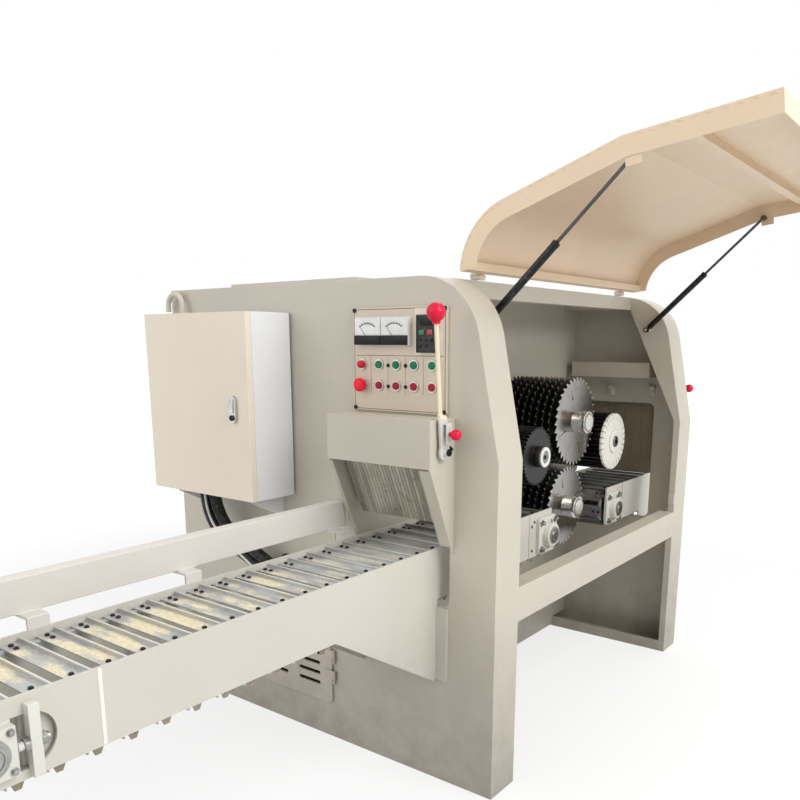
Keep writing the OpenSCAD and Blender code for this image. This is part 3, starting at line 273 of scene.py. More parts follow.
def together(pieces):
    bpy.ops.object.select_all(action="DESELECT")
    for piece in pieces:
        piece.select_set(True)
    bpy.context.view_layer.objects.active = pieces[0]
    if len(pieces) > 1:
        bpy.ops.object.join()
    bpy.ops.object.transform_apply(location=True, rotation=True, scale=True)
    return bpy.context.object


def way(at, z_to=(0, 0, 1), x_to=None):
    z_axis = Vector(z_to).normalized()
    if x_to is None:
        turn = z_axis.to_track_quat("Z", "Y").to_matrix().to_4x4()
    else:
        x_axis = Vector(x_to).normalized()
        turn = Matrix((x_axis, z_axis.cross(x_axis), z_axis)).transposed().to_4x4()
    return Matrix.Translation(Vector(at)) @ turn


def repeat(model, places):
    copies = []
    for place in places:
        copy = model.copy()
        copy.data = model.data.copy()
        copy.matrix_world = place
        bpy.context.collection.objects.link(copy)
        copies.append(copy)
    bpy.data.objects.remove(model)
    return together(copies)


def fit(piece, name, material, body="machine_frame"):
    piece.name = name
    piece.data.name = name
    piece.data.materials.clear()
    piece.data.materials.append(material)
    only(piece)
    bpy.ops.object.shade_smooth_by_angle(angle=math.radians(35))
    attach(piece, body)
    return piece


dress("vent_cover", enamel("vent_enamel", srgb(198, 190, 176)), 0.0008)
# Painted shade: a near-black mottled sheet behind the vent slots
shade_sheet, tree, base = new_material("filter_felt")
base.inputs["Roughness"].default_value = 1.0
base.inputs["Specular IOR Level"].default_value = 0.0
shade_sheet_tone = blend_colour(tree, noise(tree, 240, 4, 0.7), srgb(14, 13, 12), srgb(44, 41, 37))
tree.links.new(shade_sheet_tone, base.inputs["Base Color"])
vent_centre = (-0.1125, -0.7775, 0.2275)
shade_sheet_piece = repeat(slab(0.320, 0.170, 0.004, 0.001, 1), [way(vent_centre, (0, -1, 0), (1, 0, 0))])
fit(shade_sheet_piece, "vent_filter", shade_sheet)


# Side cover: one steel sheet over the closed side, enamelled like the cabinet.
# Hexagon bolts along its four edges hold it to the end frames, painted over with it.
def drum(radius, depth, sides=24, z=0.0):
    bpy.ops.mesh.primitive_cylinder_add(vertices=sides, radius=radius, depth=depth, location=(0, 0, z + depth / 2))
    only(bpy.context.object)
    bpy.ops.object.transform_apply(location=True, rotation=True, scale=True)
    return bpy.context.object


def hex_bolt(radius, head):
    washer = drum(1.45 * radius, 0.28 * head, 16)
    chamfer(washer, 0.06 * head, 1)
    cap = drum(radius, head, 6, 0.28 * head)
    chamfer(cap, 0.1 * head, 2)
    return together([washer, cap])


cover_low, cover_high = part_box("side_cover")
edge = 0.022
rows = [(cover_low.y + edge, cover_high.y - edge, 7), (cover_low.z + edge, cover_high.z - edge, 6)]
ys, zs = [[a + (b - a) * i / (n - 1) for i in range(n)] for a, b, n in rows]
bolts = [(y, z) for y in ys for z in zs if y in (ys[0], ys[-1]) or z in (zs[0], zs[-1])]
bolts = [way((cover_low.x, y, z), (-1, 0, 0)) for y, z in bolts]
fit(repeat(hex_bolt(0.0058, 0.0045), bolts), "side_cover_bolts", greige)


# Conveyor frames: pale enamelled side plates with bolted cross ties and runners.
# The long infeed plate is two lengths, butted and welded at a proud seam, whose paler paint is a painted highlight
# on the ridge.
plate_x = 0.494
far_x = 0.200
shaft_z = 0.655
plate_top, plate_bottom = 0.742, 0.585
ivory = enamel("ivory_enamel", srgb(200, 197, 186), cloud=0.35, dust=0.08)
for name in ("infeed_frame", "outfeed_frame"):
    dress(name, ivory)
plate_h, plate_middle, seam_y = plate_top - plate_bottom, (plate_top + plate_bottom) / 2, -1.864
seam = slab(0.008, plate_h - 0.004, 0.0009, 0.0003, 1)
seam = repeat(seam, [way((plate_x, seam_y, plate_middle), (1, 0, 0), (0, 1, 0))])
# The seam's paler enamel is a painted highlight on the weld ridge
fit(seam, "infeed_plate_seam", enamel("seam_enamel", srgb(232, 230, 220)))


# Conveyor shafts and their flange bearings: bright turned shafts in white-painted iron housings,
# each held to its plate by four bolts and locked with a collar; the tail runs in screw take-ups.
# The steel's finish comes first: drawn streaks on rolled stock, rings on turned stock, stains on both.
rolled, given, out = effect("rolled_steel", [("Colour", "Color", (0.5, 0.5, 0.5, 1)), ("Stain", "Float", 0.4),
                                             ("Stretch", "Vector", (1, 1, 1))],
                            skin_outs)
drawn = shader(rolled, "Mapping", {"Vector": shader(rolled, "TexCoord").outputs["Object"],
                                   "Scale": given["Stretch"]}).outputs[0]
streak = noise(rolled, 60, 4, 0.6, drawn)
stain = sums(rolled, "MULTIPLY", ramp(rolled, noise(rolled, 11, 5, 0.65), 0.45, 0.75), given["Stain"])
tone = ramp(rolled, streak, 0.3, 0.7, 0.86, 1.1)
bright = scaled(rolled, given["Colour"], tone)
rolled.links.new(blend_colour(rolled, stain, bright, (0.06, 0.055, 0.05, 1)), out["Colour"])
drawn_finish = ramp(rolled, streak, 0.3, 0.7, 0.24, 0.40)
rolled.links.new(sums(rolled, "ADD", sums(rolled, "MULTIPLY", stain, 0.3), drawn_finish), out["Roughness"])
rolled.links.new(streak, out["Height"])

lathed, given, out = effect("turned_steel", [("Colour", "Color", (0.5, 0.5, 0.5, 1)), ("Stain", "Float", 0.2),
                                             ("Centre", "Vector", (0, 0, 0)), ("Polish", "Float", 0.2)],
                            skin_outs)
offset = shader(lathed, "VectorMath", {0: shader(lathed, "TexCoord").outputs["Object"], 1: given["Centre"]},
                operation="SUBTRACT").outputs[0]
flat = shader(lathed, "VectorMath", {0: offset, 1: (0, 1, 1)}, operation="MULTIPLY").outputs[0]
reach = shader(lathed, "VectorMath", {0: flat}, operation="LENGTH").outputs["Value"]
along = shader(lathed, "SeparateXYZ", {0: offset}).outputs["X"]
ring_line = shader(lathed, "CombineXYZ", {0: along, 1: reach}).outputs[0]
rings = noise(lathed, 900, 3, 0.6, ring_line)
stain = sums(lathed, "MULTIPLY", ramp(lathed, noise(lathed, 22, 4, 0.65), 0.5, 0.78), given["Stain"])
tone = ramp(lathed, rings, 0.3, 0.7, 0.9, 1.08)
bright = scaled(lathed, given["Colour"], tone)
lathed.links.new(blend_colour(lathed, stain, bright, (0.10, 0.07, 0.05, 1)), out["Colour"])
turned_finish = sums(lathed, "MULTIPLY", sums(lathed, "ADD", rings, stain), 0.14)
lathed.links.new(sums(lathed, "ADD", given["Polish"], turned_finish), out["Roughness"])
lathed.links.new(rings, out["Height"])


def steel(name, group, values, metallic=1.0, relief=0.1, cover=None):
    made, tree, base = new_material(name)
    base.inputs["Metallic"].default_value = metallic
    skin = shader(tree, "Group", values, node_tree=group)
    colour, rough = skin.outputs["Colour"], skin.outputs["Roughness"]
    if cover:
        colour, rough = cover(tree, base, colour, rough)
    bump = shader(tree, "Bump", {"Height": skin.outputs["Height"], "Strength": relief, "Distance": 0.0005})
    tree.links.new(colour, base.inputs["Base Color"])
    tree.links.new(rough, base.inputs["Roughness"])
    tree.links.new(bump.outputs["Normal"], base.inputs["Normal"])
    return made


def place_of(tree):
    return shader(tree, "SeparateXYZ", {0: shader(tree, "TexCoord").outputs["Object"]}).outputs


def edit(piece, test):
    only(piece)
    bpy.ops.object.mode_set(mode="EDIT")
    bpy.ops.mesh.select_mode(type="FACE")
    bpy.ops.mesh.select_all(action="DESELECT")
    bpy.ops.object.mode_set(mode="OBJECT")
    for face in piece.data.polygons:
        face.select = test(face)
    bpy.ops.object.mode_set(mode="EDIT")


def close():
    bpy.ops.object.mode_set(mode="OBJECT")


def top_face(face):
    return face.normal.z > 0.9


def push(rise, shrink=1.0):
    bpy.ops.mesh.extrude_region_move(TRANSFORM_OT_translate={"value": (0, 0, rise)})
    if shrink != 1.0:
        bpy.ops.transform.resize(value=(shrink, shrink, 1))


def sunk(piece, rim, depth, edge_r=0.0, segments=2):
    edit(piece, top_face)
    bpy.ops.mesh.inset(thickness=rim)
    push(-depth)
    close()
    if edge_r:
        chamfer(piece, edge_r, segments)
    return piece


def raised(piece, *steps):
    edit(piece, top_face)
    for rise, shrink in steps:
        push(rise, shrink)
    close()
    return piece


infeed_tail_y, infeed_head_y, outfeed_head_y, outfeed_tail_y = -2.0825, -0.1145, 0.4625, 1.1625
fixed_bearings = (infeed_head_y, outfeed_head_y, outfeed_tail_y)
for name, y in (("infeed_head_shaft", infeed_head_y), ("infeed_tail_shaft", infeed_tail_y),
                ("outfeed_head_shaft", outfeed_head_y), ("outfeed_tail_shaft", outfeed_tail_y)):
    turned = {"Colour": srgb(176, 178, 178), "Centre": (0, y, shaft_z)}
    dress(name, steel(name + "_steel", lathed, turned), 0.001)
white_iron = enamel("white_iron", srgb(214, 214, 206), cloud=0.7, dust=0.15, edge_highlight=0.2, peel=0.3)
dress("conveyor_bearings", white_iron, 0.0015)
bolt_steel = steel("bolt_steel", rolled, {"Colour": srgb(170, 170, 166), "Stain": 0.5})
black_steel = steel("black_oxide_steel", rolled, {"Colour": srgb(52, 52, 54), "Stain": 0.5})
flange, corner_r = 0.013, 0.049
spots = []
for y in fixed_bearings:
    for x, side in ((plate_x + flange, 1), (far_x - flange, -1)):
        spots += [way((x, y + dy, shaft_z + dz), (side, 0, 0)) for dy in (-corner_r, corner_r)
                  for dz in (-corner_r, corner_r)]
fit(repeat(hex_bolt(0.0088, 0.010), spots), "bearing_bolts", bolt_steel)
collar = sunk(drum(0.0300, 0.0048, 32), 0.0105, 0.0012, 0.0008)
collars = repeat(collar, [way((plate_x + 0.036, y, shaft_z), (1, 0, 0)) for y in fixed_bearings])
fit(collars, "bearing_collars", bolt_steel)
nipple = raised(drum(0.0034, 0.010, 8), (0.002, 1.35), (0.003, 0.6))
nipples = repeat(nipple, [way((plate_x + 0.026, y, shaft_z + 0.0420), (0, 0, 1)) for y in fixed_bearings])
fit(nipples, "grease_nipples", bolt_steel)
plug = sunk(drum(0.0052, 0.0010, 16), 0.0012, 0.0007)
holes = [way((plate_x, y + side * dy, shaft_z + dz), (1, 0, 0))
         for y, side in ((infeed_head_y, -1), (outfeed_head_y, 1))
         for dy, dz in ((0.098, 0.042), (0.080, 0.056), (0.094, -0.046))]
fit(repeat(plug, holes), "plate_holes", black_steel)
joint = slab(0.0020, plate_h - 0.006, 0.0003, 0.0001, 1)
joint = repeat(joint, [way((plate_x, y, plate_middle), (1, 0, 0), (0, 1, 0))
                       for y in (infeed_head_y - 0.1168, outfeed_head_y + 0.1165)])
fit(joint, "bearing_plate_joints", black_steel)


# Take-up screws: threaded steel bars with a nut either side of the strap, to tighten the chain.
# Each sliding block carries a capped hub on four small bolts.
take_x = plate_x + 0.010
strap_y = infeed_tail_y + 0.082
nut = drum(0.0135, 0.010, 6)
edit(nut, top_face)
bpy.ops.mesh.inset(thickness=0.0035)
push(0.0012, 0.9)
close()
chamfer(nut, 0.0008)
nuts = [way((x, strap_y + s * 0.0101, shaft_z), (0, s, 0)) for x in (take_x, far_x - 0.010) for s in (-1, 1)]
fit(repeat(nut, nuts), "take_up_nuts", bolt_steel)
thread = raised(drum(0.0090, 0.0013, 16), (0.0009, 0.88))
turns = [way((x, strap_y + 0.0215 + 0.0013 * i, shaft_z), (0, 1, 0))
         for x in (take_x, far_x - 0.010) for i in range(3)]
fit(repeat(thread, turns), "take_up_threads", bolt_steel)
hub = drum(0.036, 0.006, 32)
edit(hub, top_face)
bpy.ops.mesh.inset(thickness=0.008)
push(0.006)
bpy.ops.mesh.inset(thickness=0.006)
push(-0.004)
close()
chamfer(hub, 0.0012)
block_faces = ((plate_x + 0.018, 1), (far_x - 0.018, -1))
hubs = [way((x, infeed_tail_y, shaft_z), (side, 0, 0)) for x, side in block_faces]
fit(repeat(hub, hubs), "take_up_hubs", bolt_steel)
spots = [way((x, infeed_tail_y + dy, shaft_z + dz), (side, 0, 0)) for x, side in block_faces
         for dy in (-0.040, 0.040) for dz in (-0.036, 0.036)]
fit(repeat(hex_bolt(0.0052, 0.006), spots), "take_up_bolts", bolt_steel)


# Slat chains: folded steel slats with an upright lip, screwed down on two roller chains.
# The slats are grey from use, and pale wood dust lies in them. Their lip tops carry a painted highlight, and the
# slats are darker towards the saw.
def dust_and_lip_highlight(tree, base, colour, rough):
    x, y, z = place_of(tree)
    place = shader(tree, "TexCoord").outputs["Object"]
    drawn_out = shader(tree, "Mapping", {"Vector": place, "Scale": (0.8, 2.0, 2.0)}).outputs[0]
    lane = ramp(tree, noise(tree, 8, 6, 0.7, drawn_out), 0.45, 0.53)
    aside = sums(tree, "SUBTRACT", x, (plate_x + far_x) / 2)
    middle = ramp(tree, shader(tree, "Math", {0: aside}, operation="ABSOLUTE").outputs[0], 0.118, 0.085)
    older = ramp(tree, y, -0.75, -1.35, 0.25, 1.0)
    lying = ramp(tree, facing_up(tree), 0.5, 0.9)
    level = ramp(tree, z, 0.70, 0.71)
    mask = lane
    for share in (middle, older, lying, level):
        mask = sums(tree, "MULTIPLY", mask, share)
    grain = ramp(tree, noise(tree, 130, 5, 0.75), 0.35, 0.65)
    chip = blend_colour(tree, grain, srgb(240, 232, 206), srgb(212, 198, 160))
    tree.links.new(ramp(tree, mask, 0.0, 1.0, 0.45, 0.0), base.inputs["Metallic"])
    # Painted highlight: the top edge of each lip is blended towards near white
    rim = ramp(tree, z, 0.7350, 0.7364, 0, 0.7)
    worn = blend_colour(tree, rim, colour, srgb(226, 226, 222))
    # The slats are scaled darker towards the saw and beyond it
    darker_towards_saw = ramp(tree, y, -1.05, -0.35, 1.0, 0.42)
    worn = scaled(tree, worn, darker_towards_saw)
    powdery = sums(tree, "MULTIPLY", mask, 0.9)
    return blend_colour(tree, mask, worn, chip), sums(tree, "MAXIMUM", rough, powdery)


slat_steel = steel("slat_steel", rolled, {"Colour": srgb(196, 198, 198), "Stain": 0.2, "Stretch": (0.15, 1, 1)},
                   relief=0.15, cover=dust_and_lip_highlight)
cleat_steel = steel("cleat_steel", rolled, {"Colour": srgb(150, 140, 124), "Stain": 0.8}, 0.4)
chain_r, link_gap, slat_pitch, slat_t = 0.068, 0.0005, 0.076, 0.003
strand_in = 0.006 + 0.009 + 0.007
screw_xs = (far_x + strand_in, far_x + strand_in + 0.022, plate_x - strand_in - 0.022, plate_x - strand_in)
hem_y, hem_z, cleat_z = 0.0195, 0.0782, 0.5765


def slat_places(start, end):
    run = end - start
    bend = math.pi * chain_r
    total = 2 * (run + bend)
    count = int(total / slat_pitch)
    for i in range(count):
        s = (i + 0.5) * total / count
        if s < run:
            yield start + s, 0.0
        elif s < run + bend:
            yield end, -math.pi * (s - run) / bend
        elif s < 2 * run + bend:
            yield end - (s - run - bend), -math.pi
        else:
            yield start, -math.pi - math.pi * (s - 2 * run - bend) / bend


for name, start, end in (("infeed", infeed_tail_y, infeed_head_y), ("outfeed", outfeed_head_y, outfeed_tail_y)):
    dress(name + "_slat_chain", slat_steel, 0.0006, 1)
    spots, hems = [], []
    for y, angle in slat_places(start, end):
        loop = Matrix.Translation((0, y, shaft_z)) @ Matrix.Rotation(angle, 4, "X")
        hems.append(loop @ Matrix.Translation(((plate_x + far_x) / 2, hem_y, hem_z)))
        for x in screw_xs:
            spots.append(loop @ Matrix.Translation((x, -0.004, chain_r + link_gap + slat_t)))
    screw = raised(drum(0.0056, 0.0030, 8), (0.0016, 0.72))
    fit(repeat(screw, spots), name + "_slat_screws", black_steel)
    hem = slab(plate_x - far_x - 0.024, 0.0052, 0.0040, 0.0012)
    fit(repeat(hem, hems), name + "_slat_hems", slat_steel)
    cleat = slab(0.030, 0.020, 0.003)
    edit(cleat, lambda face: face.normal.y < -0.9)
    bpy.ops.transform.resize(value=(0.42, 1, 1))
    close()
    chamfer(cleat, 0.0006, 1)
    under = [way((x, y, cleat_z), (side, 0, 0), (0, side, 0)) for y, angle in slat_places(start, end)
             if abs(angle + math.pi) < 0.01 for x, side in ((plate_x - 0.012, 1), (far_x + 0.012, -1))]
    fit(repeat(cleat, under), name + "_slat_cleats", cleat_steel)


# Saw arbors: turned steel spindles with spacers, flanged housings and pulleys. The toothed blades
# are polished plates, and each tooth carries a brazed hard-metal tip. Blades and tips behind the nearest one get
# painted shade, darker the deeper they sit in the stack.
arbors = {"upper": (0.1825, 1.0315, 0.1675), "lower": (0.1275, 0.712, 0.150)}
near_blade, blade_pitch, blades, teeth = 0.451, 0.028, 10, 36
nut_x = 0.498


# Painted shade: the nearest blade keeps its colour, the blades and tips behind it are darkened with depth into the
# stack
def shaded_behind_near_blade(tree, base, colour, rough):
    x = place_of(tree)[0]
    first = ramp(tree, x, near_blade - 0.012, near_blade - 0.008)
    stack_shade = ramp(tree, x, near_blade - 0.26, near_blade - 0.02, 0.14, 0.34)
    stack_shaded = scaled(tree, colour, stack_shade)
    return blend_colour(tree, first, stack_shaded, colour), sums(tree, "ADD", rough, ramp(tree, first, 0, 1, 0.22, 0.0))


tip_steel = steel("tip_metal", rolled, {"Colour": srgb(232, 230, 222), "Stain": 0.05}, 0.4, cover=shaded_behind_near_blade)
for name, (y, z, radius) in arbors.items():
    spindle = {"Colour": srgb(214, 212, 208), "Centre": (0, y, z), "Polish": 0.14, "Stain": 0.3}
    dress(name + "_arbor", steel(name + "_arbor_steel", lathed, spindle), 0.0012)
    plate = {"Colour": srgb(160, 159, 156), "Centre": (0, y, z), "Polish": 0.12, "Stain": 0.3}
    dress(name + "_blades", steel(name + "_blade_steel", lathed, plate, relief=0.06, cover=shaded_behind_near_blade))
    tip = raised(slab(0.0038, 0.0026, 0.0100), (0.0006, 0.8))
    spots = []
    for blade in range(blades):
        for tooth in range(teeth):
            a = math.radians(blade * 7 + tooth * 360 / teeth)
            out_way, on_way = Vector((0, math.cos(a), math.sin(a))), Vector((0, -math.sin(a), math.cos(a)))
            hub = Vector((near_blade - blade * blade_pitch, y, z))
            at = hub + out_way * (radius - 0.0106) - on_way * 0.0006
            spots.append(way(at, out_way, (1, 0, 0)))
    fit(repeat(tip, spots), name + "_blade_tips", tip_steel, name + "_arbor")
    nut = drum(0.040, 0.012, 6)
    chamfer(nut, 0.002)
    nut = repeat(nut, [way((nut_x, y, z), (1, 0, 0))])
    fit(nut, name + "_arbor_nut", bolt_steel, name + "_arbor")
dress("arbor_housings", steel("housing_iron", rolled, {"Colour": srgb(120, 122, 122), "Stain": 0.5}, 0.8), 0.002)


# Press rollers: toothed discs that turn on an axle, which a swing arm carries behind the bulkhead.
# The infeed discs are dark; the outfeed roller ends in a white slotted disc.
def end_disc(limit, tone):
    def cover(tree, base, colour, rough):
        mask = ramp(tree, place_of(tree)[0], limit - 0.0006, limit)
        tree.links.new(ramp(tree, mask, 0, 1, 1, 0.1), base.inputs["Metallic"])
        return blend_colour(tree, mask, colour, tone), sums(tree, "ADD", rough, sums(tree, "MULTIPLY", mask, 0.2))
    return cover


roller_z = 0.931
white_end = end_disc(0.4815, srgb(226, 225, 217))
for name, y, cover, edge_r in (("infeed_roller", infeed_head_y, None, 0.0008),
                               ("outfeed_roller", outfeed_head_y, white_end, 0.0003)):
    worn = {"Colour": srgb(66, 66, 68), "Centre": (0, y, roller_z), "Polish": 0.3, "Stain": 0.4}
    dress(name, steel(name + "_steel", lathed, worn, relief=0.2, cover=cover), edge_r, 1)
pale_cap = enamel("roller_cap_paint", srgb(228, 227, 222), cloud=0.6)
for name, y, x, wide in (("infeed_roller", infeed_head_y, 0.480, 0.036),
                         ("outfeed_roller", outfeed_head_y, 0.492, 0.046)):
    cap = drum(wide, 0.007, 36)
    edit(cap, lambda face: abs(face.normal.z) > 0.9)
    bpy.ops.mesh.inset(thickness=wide - 0.0228)
    bpy.ops.mesh.bridge_edge_loops()
    close()
    chamfer(cap, 0.0012)
    cap = repeat(cap, [way((x, y, roller_z), (1, 0, 0))])
    fit(cap, name + "_cap", pale_cap, name)
arm_iron = steel("arm_steel", rolled, {"Colour": srgb(150, 152, 152), "Stain": 0.3})
for name, y, x in (("infeed_arm", infeed_head_y, 0.484), ("outfeed_arm", outfeed_head_y, 0.504)):
    dress(name, arm_iron, 0.002)
    centre = repeat(sunk(drum(0.0085, 0.0016, 20), 0.0022, 0.0012), [way((x, y, roller_z), (1, 0, 0))])
    fit(centre, name + "_axle_centre", black_steel, name)


# Drives behind the bulkhead: blue-grey enamelled motors bolted to the motor rails.
# Turned steel pulleys carry flat rubber belts up to the arbors.
motor_paint = enamel("motor_enamel", srgb(96, 110, 118), dust=0.35)
dress("drive_motors", motor_paint, 0.003)
motor_z = 0.26
for name, y in (("upper_motor_pulley", -0.3025), ("lower_motor_pulley", 0.3975)):
    dress(name, steel(name + "_steel", lathed, {"Colour": srgb(150, 152, 152), "Centre": (0, y, motor_z)}), 0.001)
moulded, given, out = effect("moulded_skin", [("Colour", "Color", (0.5, 0.5, 0.5, 1)), ("Scuff", "Float", 0.2),
                                              ("Gloss", "Float", 0.3)],
                             skin_outs)
scuff = sums(moulded, "MULTIPLY", ramp(moulded, noise(moulded, 70, 5, 0.7), 0.5, 0.75), given["Scuff"])
tone = ramp(moulded, noise(moulded, 26, 3), 0.3, 0.7, 0.93, 1.06)
even = scaled(moulded, given["Colour"], tone)
moulded.links.new(blend_colour(moulded, scuff, even, (0.55, 0.52, 0.47, 1)), out["Colour"])
uneven = ramp(moulded, noise(moulded, 120, 2), 0.3, 0.7, -0.04, 0.04)
dull = sums(moulded, "ADD", sums(moulded, "MULTIPLY", scuff, 0.5), uneven)
moulded.links.new(sums(moulded, "ADD", given["Gloss"], dull), out["Roughness"])
moulded.links.new(noise(moulded, 900, 2), out["Height"])


def plastic(name, colour, gloss=0.25, scuff=0.12, grain=0.05):
    made = steel(name, moulded, {"Colour": colour, "Gloss": gloss, "Scuff": scuff}, 0.0, grain)
    made.node_tree.nodes["Principled BSDF"].inputs["Specular IOR Level"].default_value = 0.22
    return made


belt_rubber = plastic("belt_rubber", srgb(38, 38, 38), 0.7, 0.25, 0.3)
dress("drive_belts", belt_rubber)


# Kickback fingers: a bank of cut steel plates side by side on one shaft in the infeed hood.
# They are bare steel, and each finger gets its own painted shade and light, standing in for fingers that sit at
# slightly different depths.
wall_y = -0.7825
pivot_y, pivot_z = wall_y - 0.068, 1.037
finger_left, finger_pitch = 0.190, 0.01272


# Painted shade and light: each finger's colour is scaled by its own random brightness
def finger_depth_shade(tree, base, colour, rough):
    along = sums(tree, "SUBTRACT", place_of(tree)[0], finger_left)
    count = shader(tree, "Math", {0: sums(tree, "DIVIDE", along, finger_pitch)}, operation="FLOOR").outputs[0]
    each = shader(tree, "TexWhiteNoise", {"W": count}, noise_dimensions="1D").outputs["Value"]
    tone = ramp(tree, each, 0, 1, 0.72, 1.12)
    return scaled(tree, colour, tone), rough


dress("kickback_fingers", steel("finger_steel", rolled, {
    "Colour": srgb(192, 186, 171), "Stain": 0.25, "Stretch": (1, 1, 0.1)}, 0.4, 0.15, finger_depth_shade), 0.0008, 1)


# Release lever: a flat bar keyed to the finger shaft with a round rod above it and a red ball,
# locked by a spring plunger in a small bracket. A second plunger locks the outfeed hood.
lever_x = 0.562
red_ball = plastic("red_ball_plastic", srgb(216, 22, 60), 0.24, 0.03)
lever_paint = enamel("lever_enamel", srgb(228, 219, 196), dust=0.0)
tree = lever_paint.node_tree
rod_foot = 1.126
two_tone = blend_colour(tree, ramp(tree, place_of(tree)[2], rod_foot, rod_foot + 0.004),
                        srgb(206, 206, 202), srgb(232, 221, 190))


def paint_with(tree, colour):
    skin = [n for n in tree.nodes if n.type == "GROUP"][0]
    tree.links.new(colour, skin.inputs["Colour"])


paint_with(tree, two_tone)
dress("release_lever", lever_paint, 0.0006)
plunger_steel = steel("plunger_steel", rolled, {"Colour": srgb(182, 182, 180), "Stain": 0.2})
dress("lock_plunger", plunger_steel)
dress("rear_plunger", plunger_steel)


def ball_knob(radius, neck):
    bpy.ops.mesh.primitive_uv_sphere_add(segments=32, ring_count=20, radius=radius)
    knob = bpy.context.object
    edit(knob, lambda face: face.center.z < -0.90 * radius)
    bpy.ops.transform.resize(value=(1, 1, 0), center_override=(0, 0, -0.94 * radius))
    push(-neck, 0.92)
    close()
    return knob


lever_up = Vector((0, -0.032, 0.370)).normalized()
plunger_z = 1.087
for name, body, radius, neck, place in (
        ("lever_ball", "release_lever", 0.0254, 0.006, way((lever_x - 0.008, wall_y - 0.100, 1.407), lever_up)),
        ("lock_plunger_ball", "lock_plunger", 0.0154, 0.005,
         way((lever_x + 0.038, pivot_y, plunger_z), (1, 0, 0))),
        ("rear_plunger_ball", "rear_plunger", 0.0174, 0.005, way((0.657, -pivot_y, 1.134), (1, 0, 0)))):
    fit(repeat(ball_knob(radius, neck), [place]), name, red_ball, body)
bracket = slab(0.026, 0.052, 0.003)
edit(bracket, lambda face: face.normal.y > 0.9)
bpy.ops.mesh.extrude_region_move(TRANSFORM_OT_translate={"value": (0, 0.003, 0)})
close()
edit(bracket, lambda face: face.normal.z < -0.9 and face.center.y > 0.026)
push(-0.011)
close()
chamfer(bracket, 0.0008)
bracket = repeat(bracket, [way((lever_x + 0.014, pivot_y, plunger_z), (1, 0, 0), (0, 1, 0))])
fit(bracket, "plunger_bracket", lever_paint, "release_lever")
pin = sunk(drum(0.0105, 0.005, 20), 0.003, 0.0025, 0.0008)
pin = repeat(pin, [way((lever_x + 0.014, pivot_y, pivot_z), (1, 0, 0))])
fit(pin, "lever_pivot_screw", black_steel, "release_lever")
cheek_x = 0.550
stops = [way((cheek_x, pivot_y + 0.045, z), (1, 0, 0)) for z in (1.070, 1.040)]
fit(repeat(hex_bolt(0.0055, 0.006), stops), "lever_stop_bolts", black_steel)


# Catches on the inner face of the rear wall above the mouth: a folded sheet clip
# with a round keeper, welded on and painted over with the wall.
clip = slab(0.030, 0.052, 0.004)
edit(clip, top_face)
bpy.ops.mesh.inset(thickness=0.004)
push(0.010, 0.8)
close()
chamfer(clip, 0.0012)
keeper = drum(0.0125, 0.026, 20)
chamfer(keeper, 0.003, 3)
keeper.matrix_world = Matrix.Translation((0, 0.012, 0))
clip = together([clip, keeper])
rear_wall_y = 0.7765
clips = repeat(clip, [way((x, rear_wall_y, 1.120), (0, -1, 0), (1, 0, 0)) for x in (0.339, 0.530)])
fit(clips, "rear_wall_catches", greige)


# Outfeed curtain: nine rubber strips hung side by side inside the outfeed hood.
# Each strip hangs straight at its top and curls a little at its free end.
curtain_low, curtain_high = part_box("outfeed_curtain")
strip_n = 9
strip_w = (curtain_high.x - curtain_low.x) / strip_n
drop = curtain_high.z - curtain_low.z
curtain_rubber = plastic("curtain_rubber", srgb(146, 136, 116), 0.6, 0.06, 0.2)
strips = []
for i in range(strip_n):
    strip = slab(strip_w + (0.003 if 0 < i < strip_n - 1 else 0.0), 0.0034, drop)
    only(strip)
    bpy.ops.object.mode_set(mode="EDIT")
    bpy.ops.mesh.select_all(action="SELECT")
    bpy.ops.mesh.subdivide(number_cuts=11)
    close()
    lean = math.sin(2.3 * i)
    for point in strip.data.vertices:
        low = 1 - point.co.z / drop
        point.co.y += (0.0022 if i % 2 else -0.0022) + 0.0012 * lean * low ** 3
    chamfer(strip, 0.0008, 1, 60)
    strip.matrix_world = Matrix.Translation((curtain_low.x + (i + 0.5) * strip_w,
                                             (curtain_low.y + curtain_high.y) / 2, curtain_low.z))
    strips.append(strip)
curtain = fit(together(strips), "rubber_curtain", curtain_rubber)
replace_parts(curtain, "outfeed_curtain")


# Fence: a long square steel tube in cream white enamel beside the infeed lane.
# Brackets, each held by two bolts, carry it from the far conveyor plate.
cream = enamel("fence_enamel", srgb(216, 212, 205), cloud=0.4, dust=0.1)
dress("fence", cream, 0.003)
bracket_ys, bracket_z = (-0.8725, -1.4225, -1.8225), 0.715
far_bolts = [way((far_x - 0.006, y + dy, bracket_z), (-1, 0, 0)) for y in bracket_ys for dy in (-0.015, 0.015)]
fit(repeat(hex_bolt(0.005, 0.005), far_bolts), "fence_bolts", bolt_steel)


# Electrical box: a folded white cabinet on two gussets, with a beige door on lift-off hinges,
# a plated latch with a lock barrel, and switchgear on a plate inside.
box_white = enamel("box_enamel", srgb(222, 223, 225), cloud=0.3, dust=0.0)
door_beige = enamel("door_enamel", srgb(226, 216, 199), cloud=0.35, dust=0.0)
dress("electrical_box", box_white, 0.0006)
dress("box_door", door_beige, 0.0008)
plated = steel("latch_plating", rolled, {"Colour": srgb(204, 203, 198), "Stain": 0.1, "Stretch": (1, 1, 0.2)})
dress("door_latch", plated)
latch_x, latch_y, latch_z = -0.155, -0.981, 1.124
grip = sunk(slab(0.015, 0.044, 0.004), 0.003, 0.0018, 0.0012, 3)
grip = repeat(grip, [way((latch_x, latch_y, latch_z + 0.012), (0, -1, 0), (1, 0, 0))])
fit(grip, "latch_grip", plated, "door_latch")
barrel = sunk(drum(0.009, 0.005, 24), 0.003, 0.003, 0.0007)
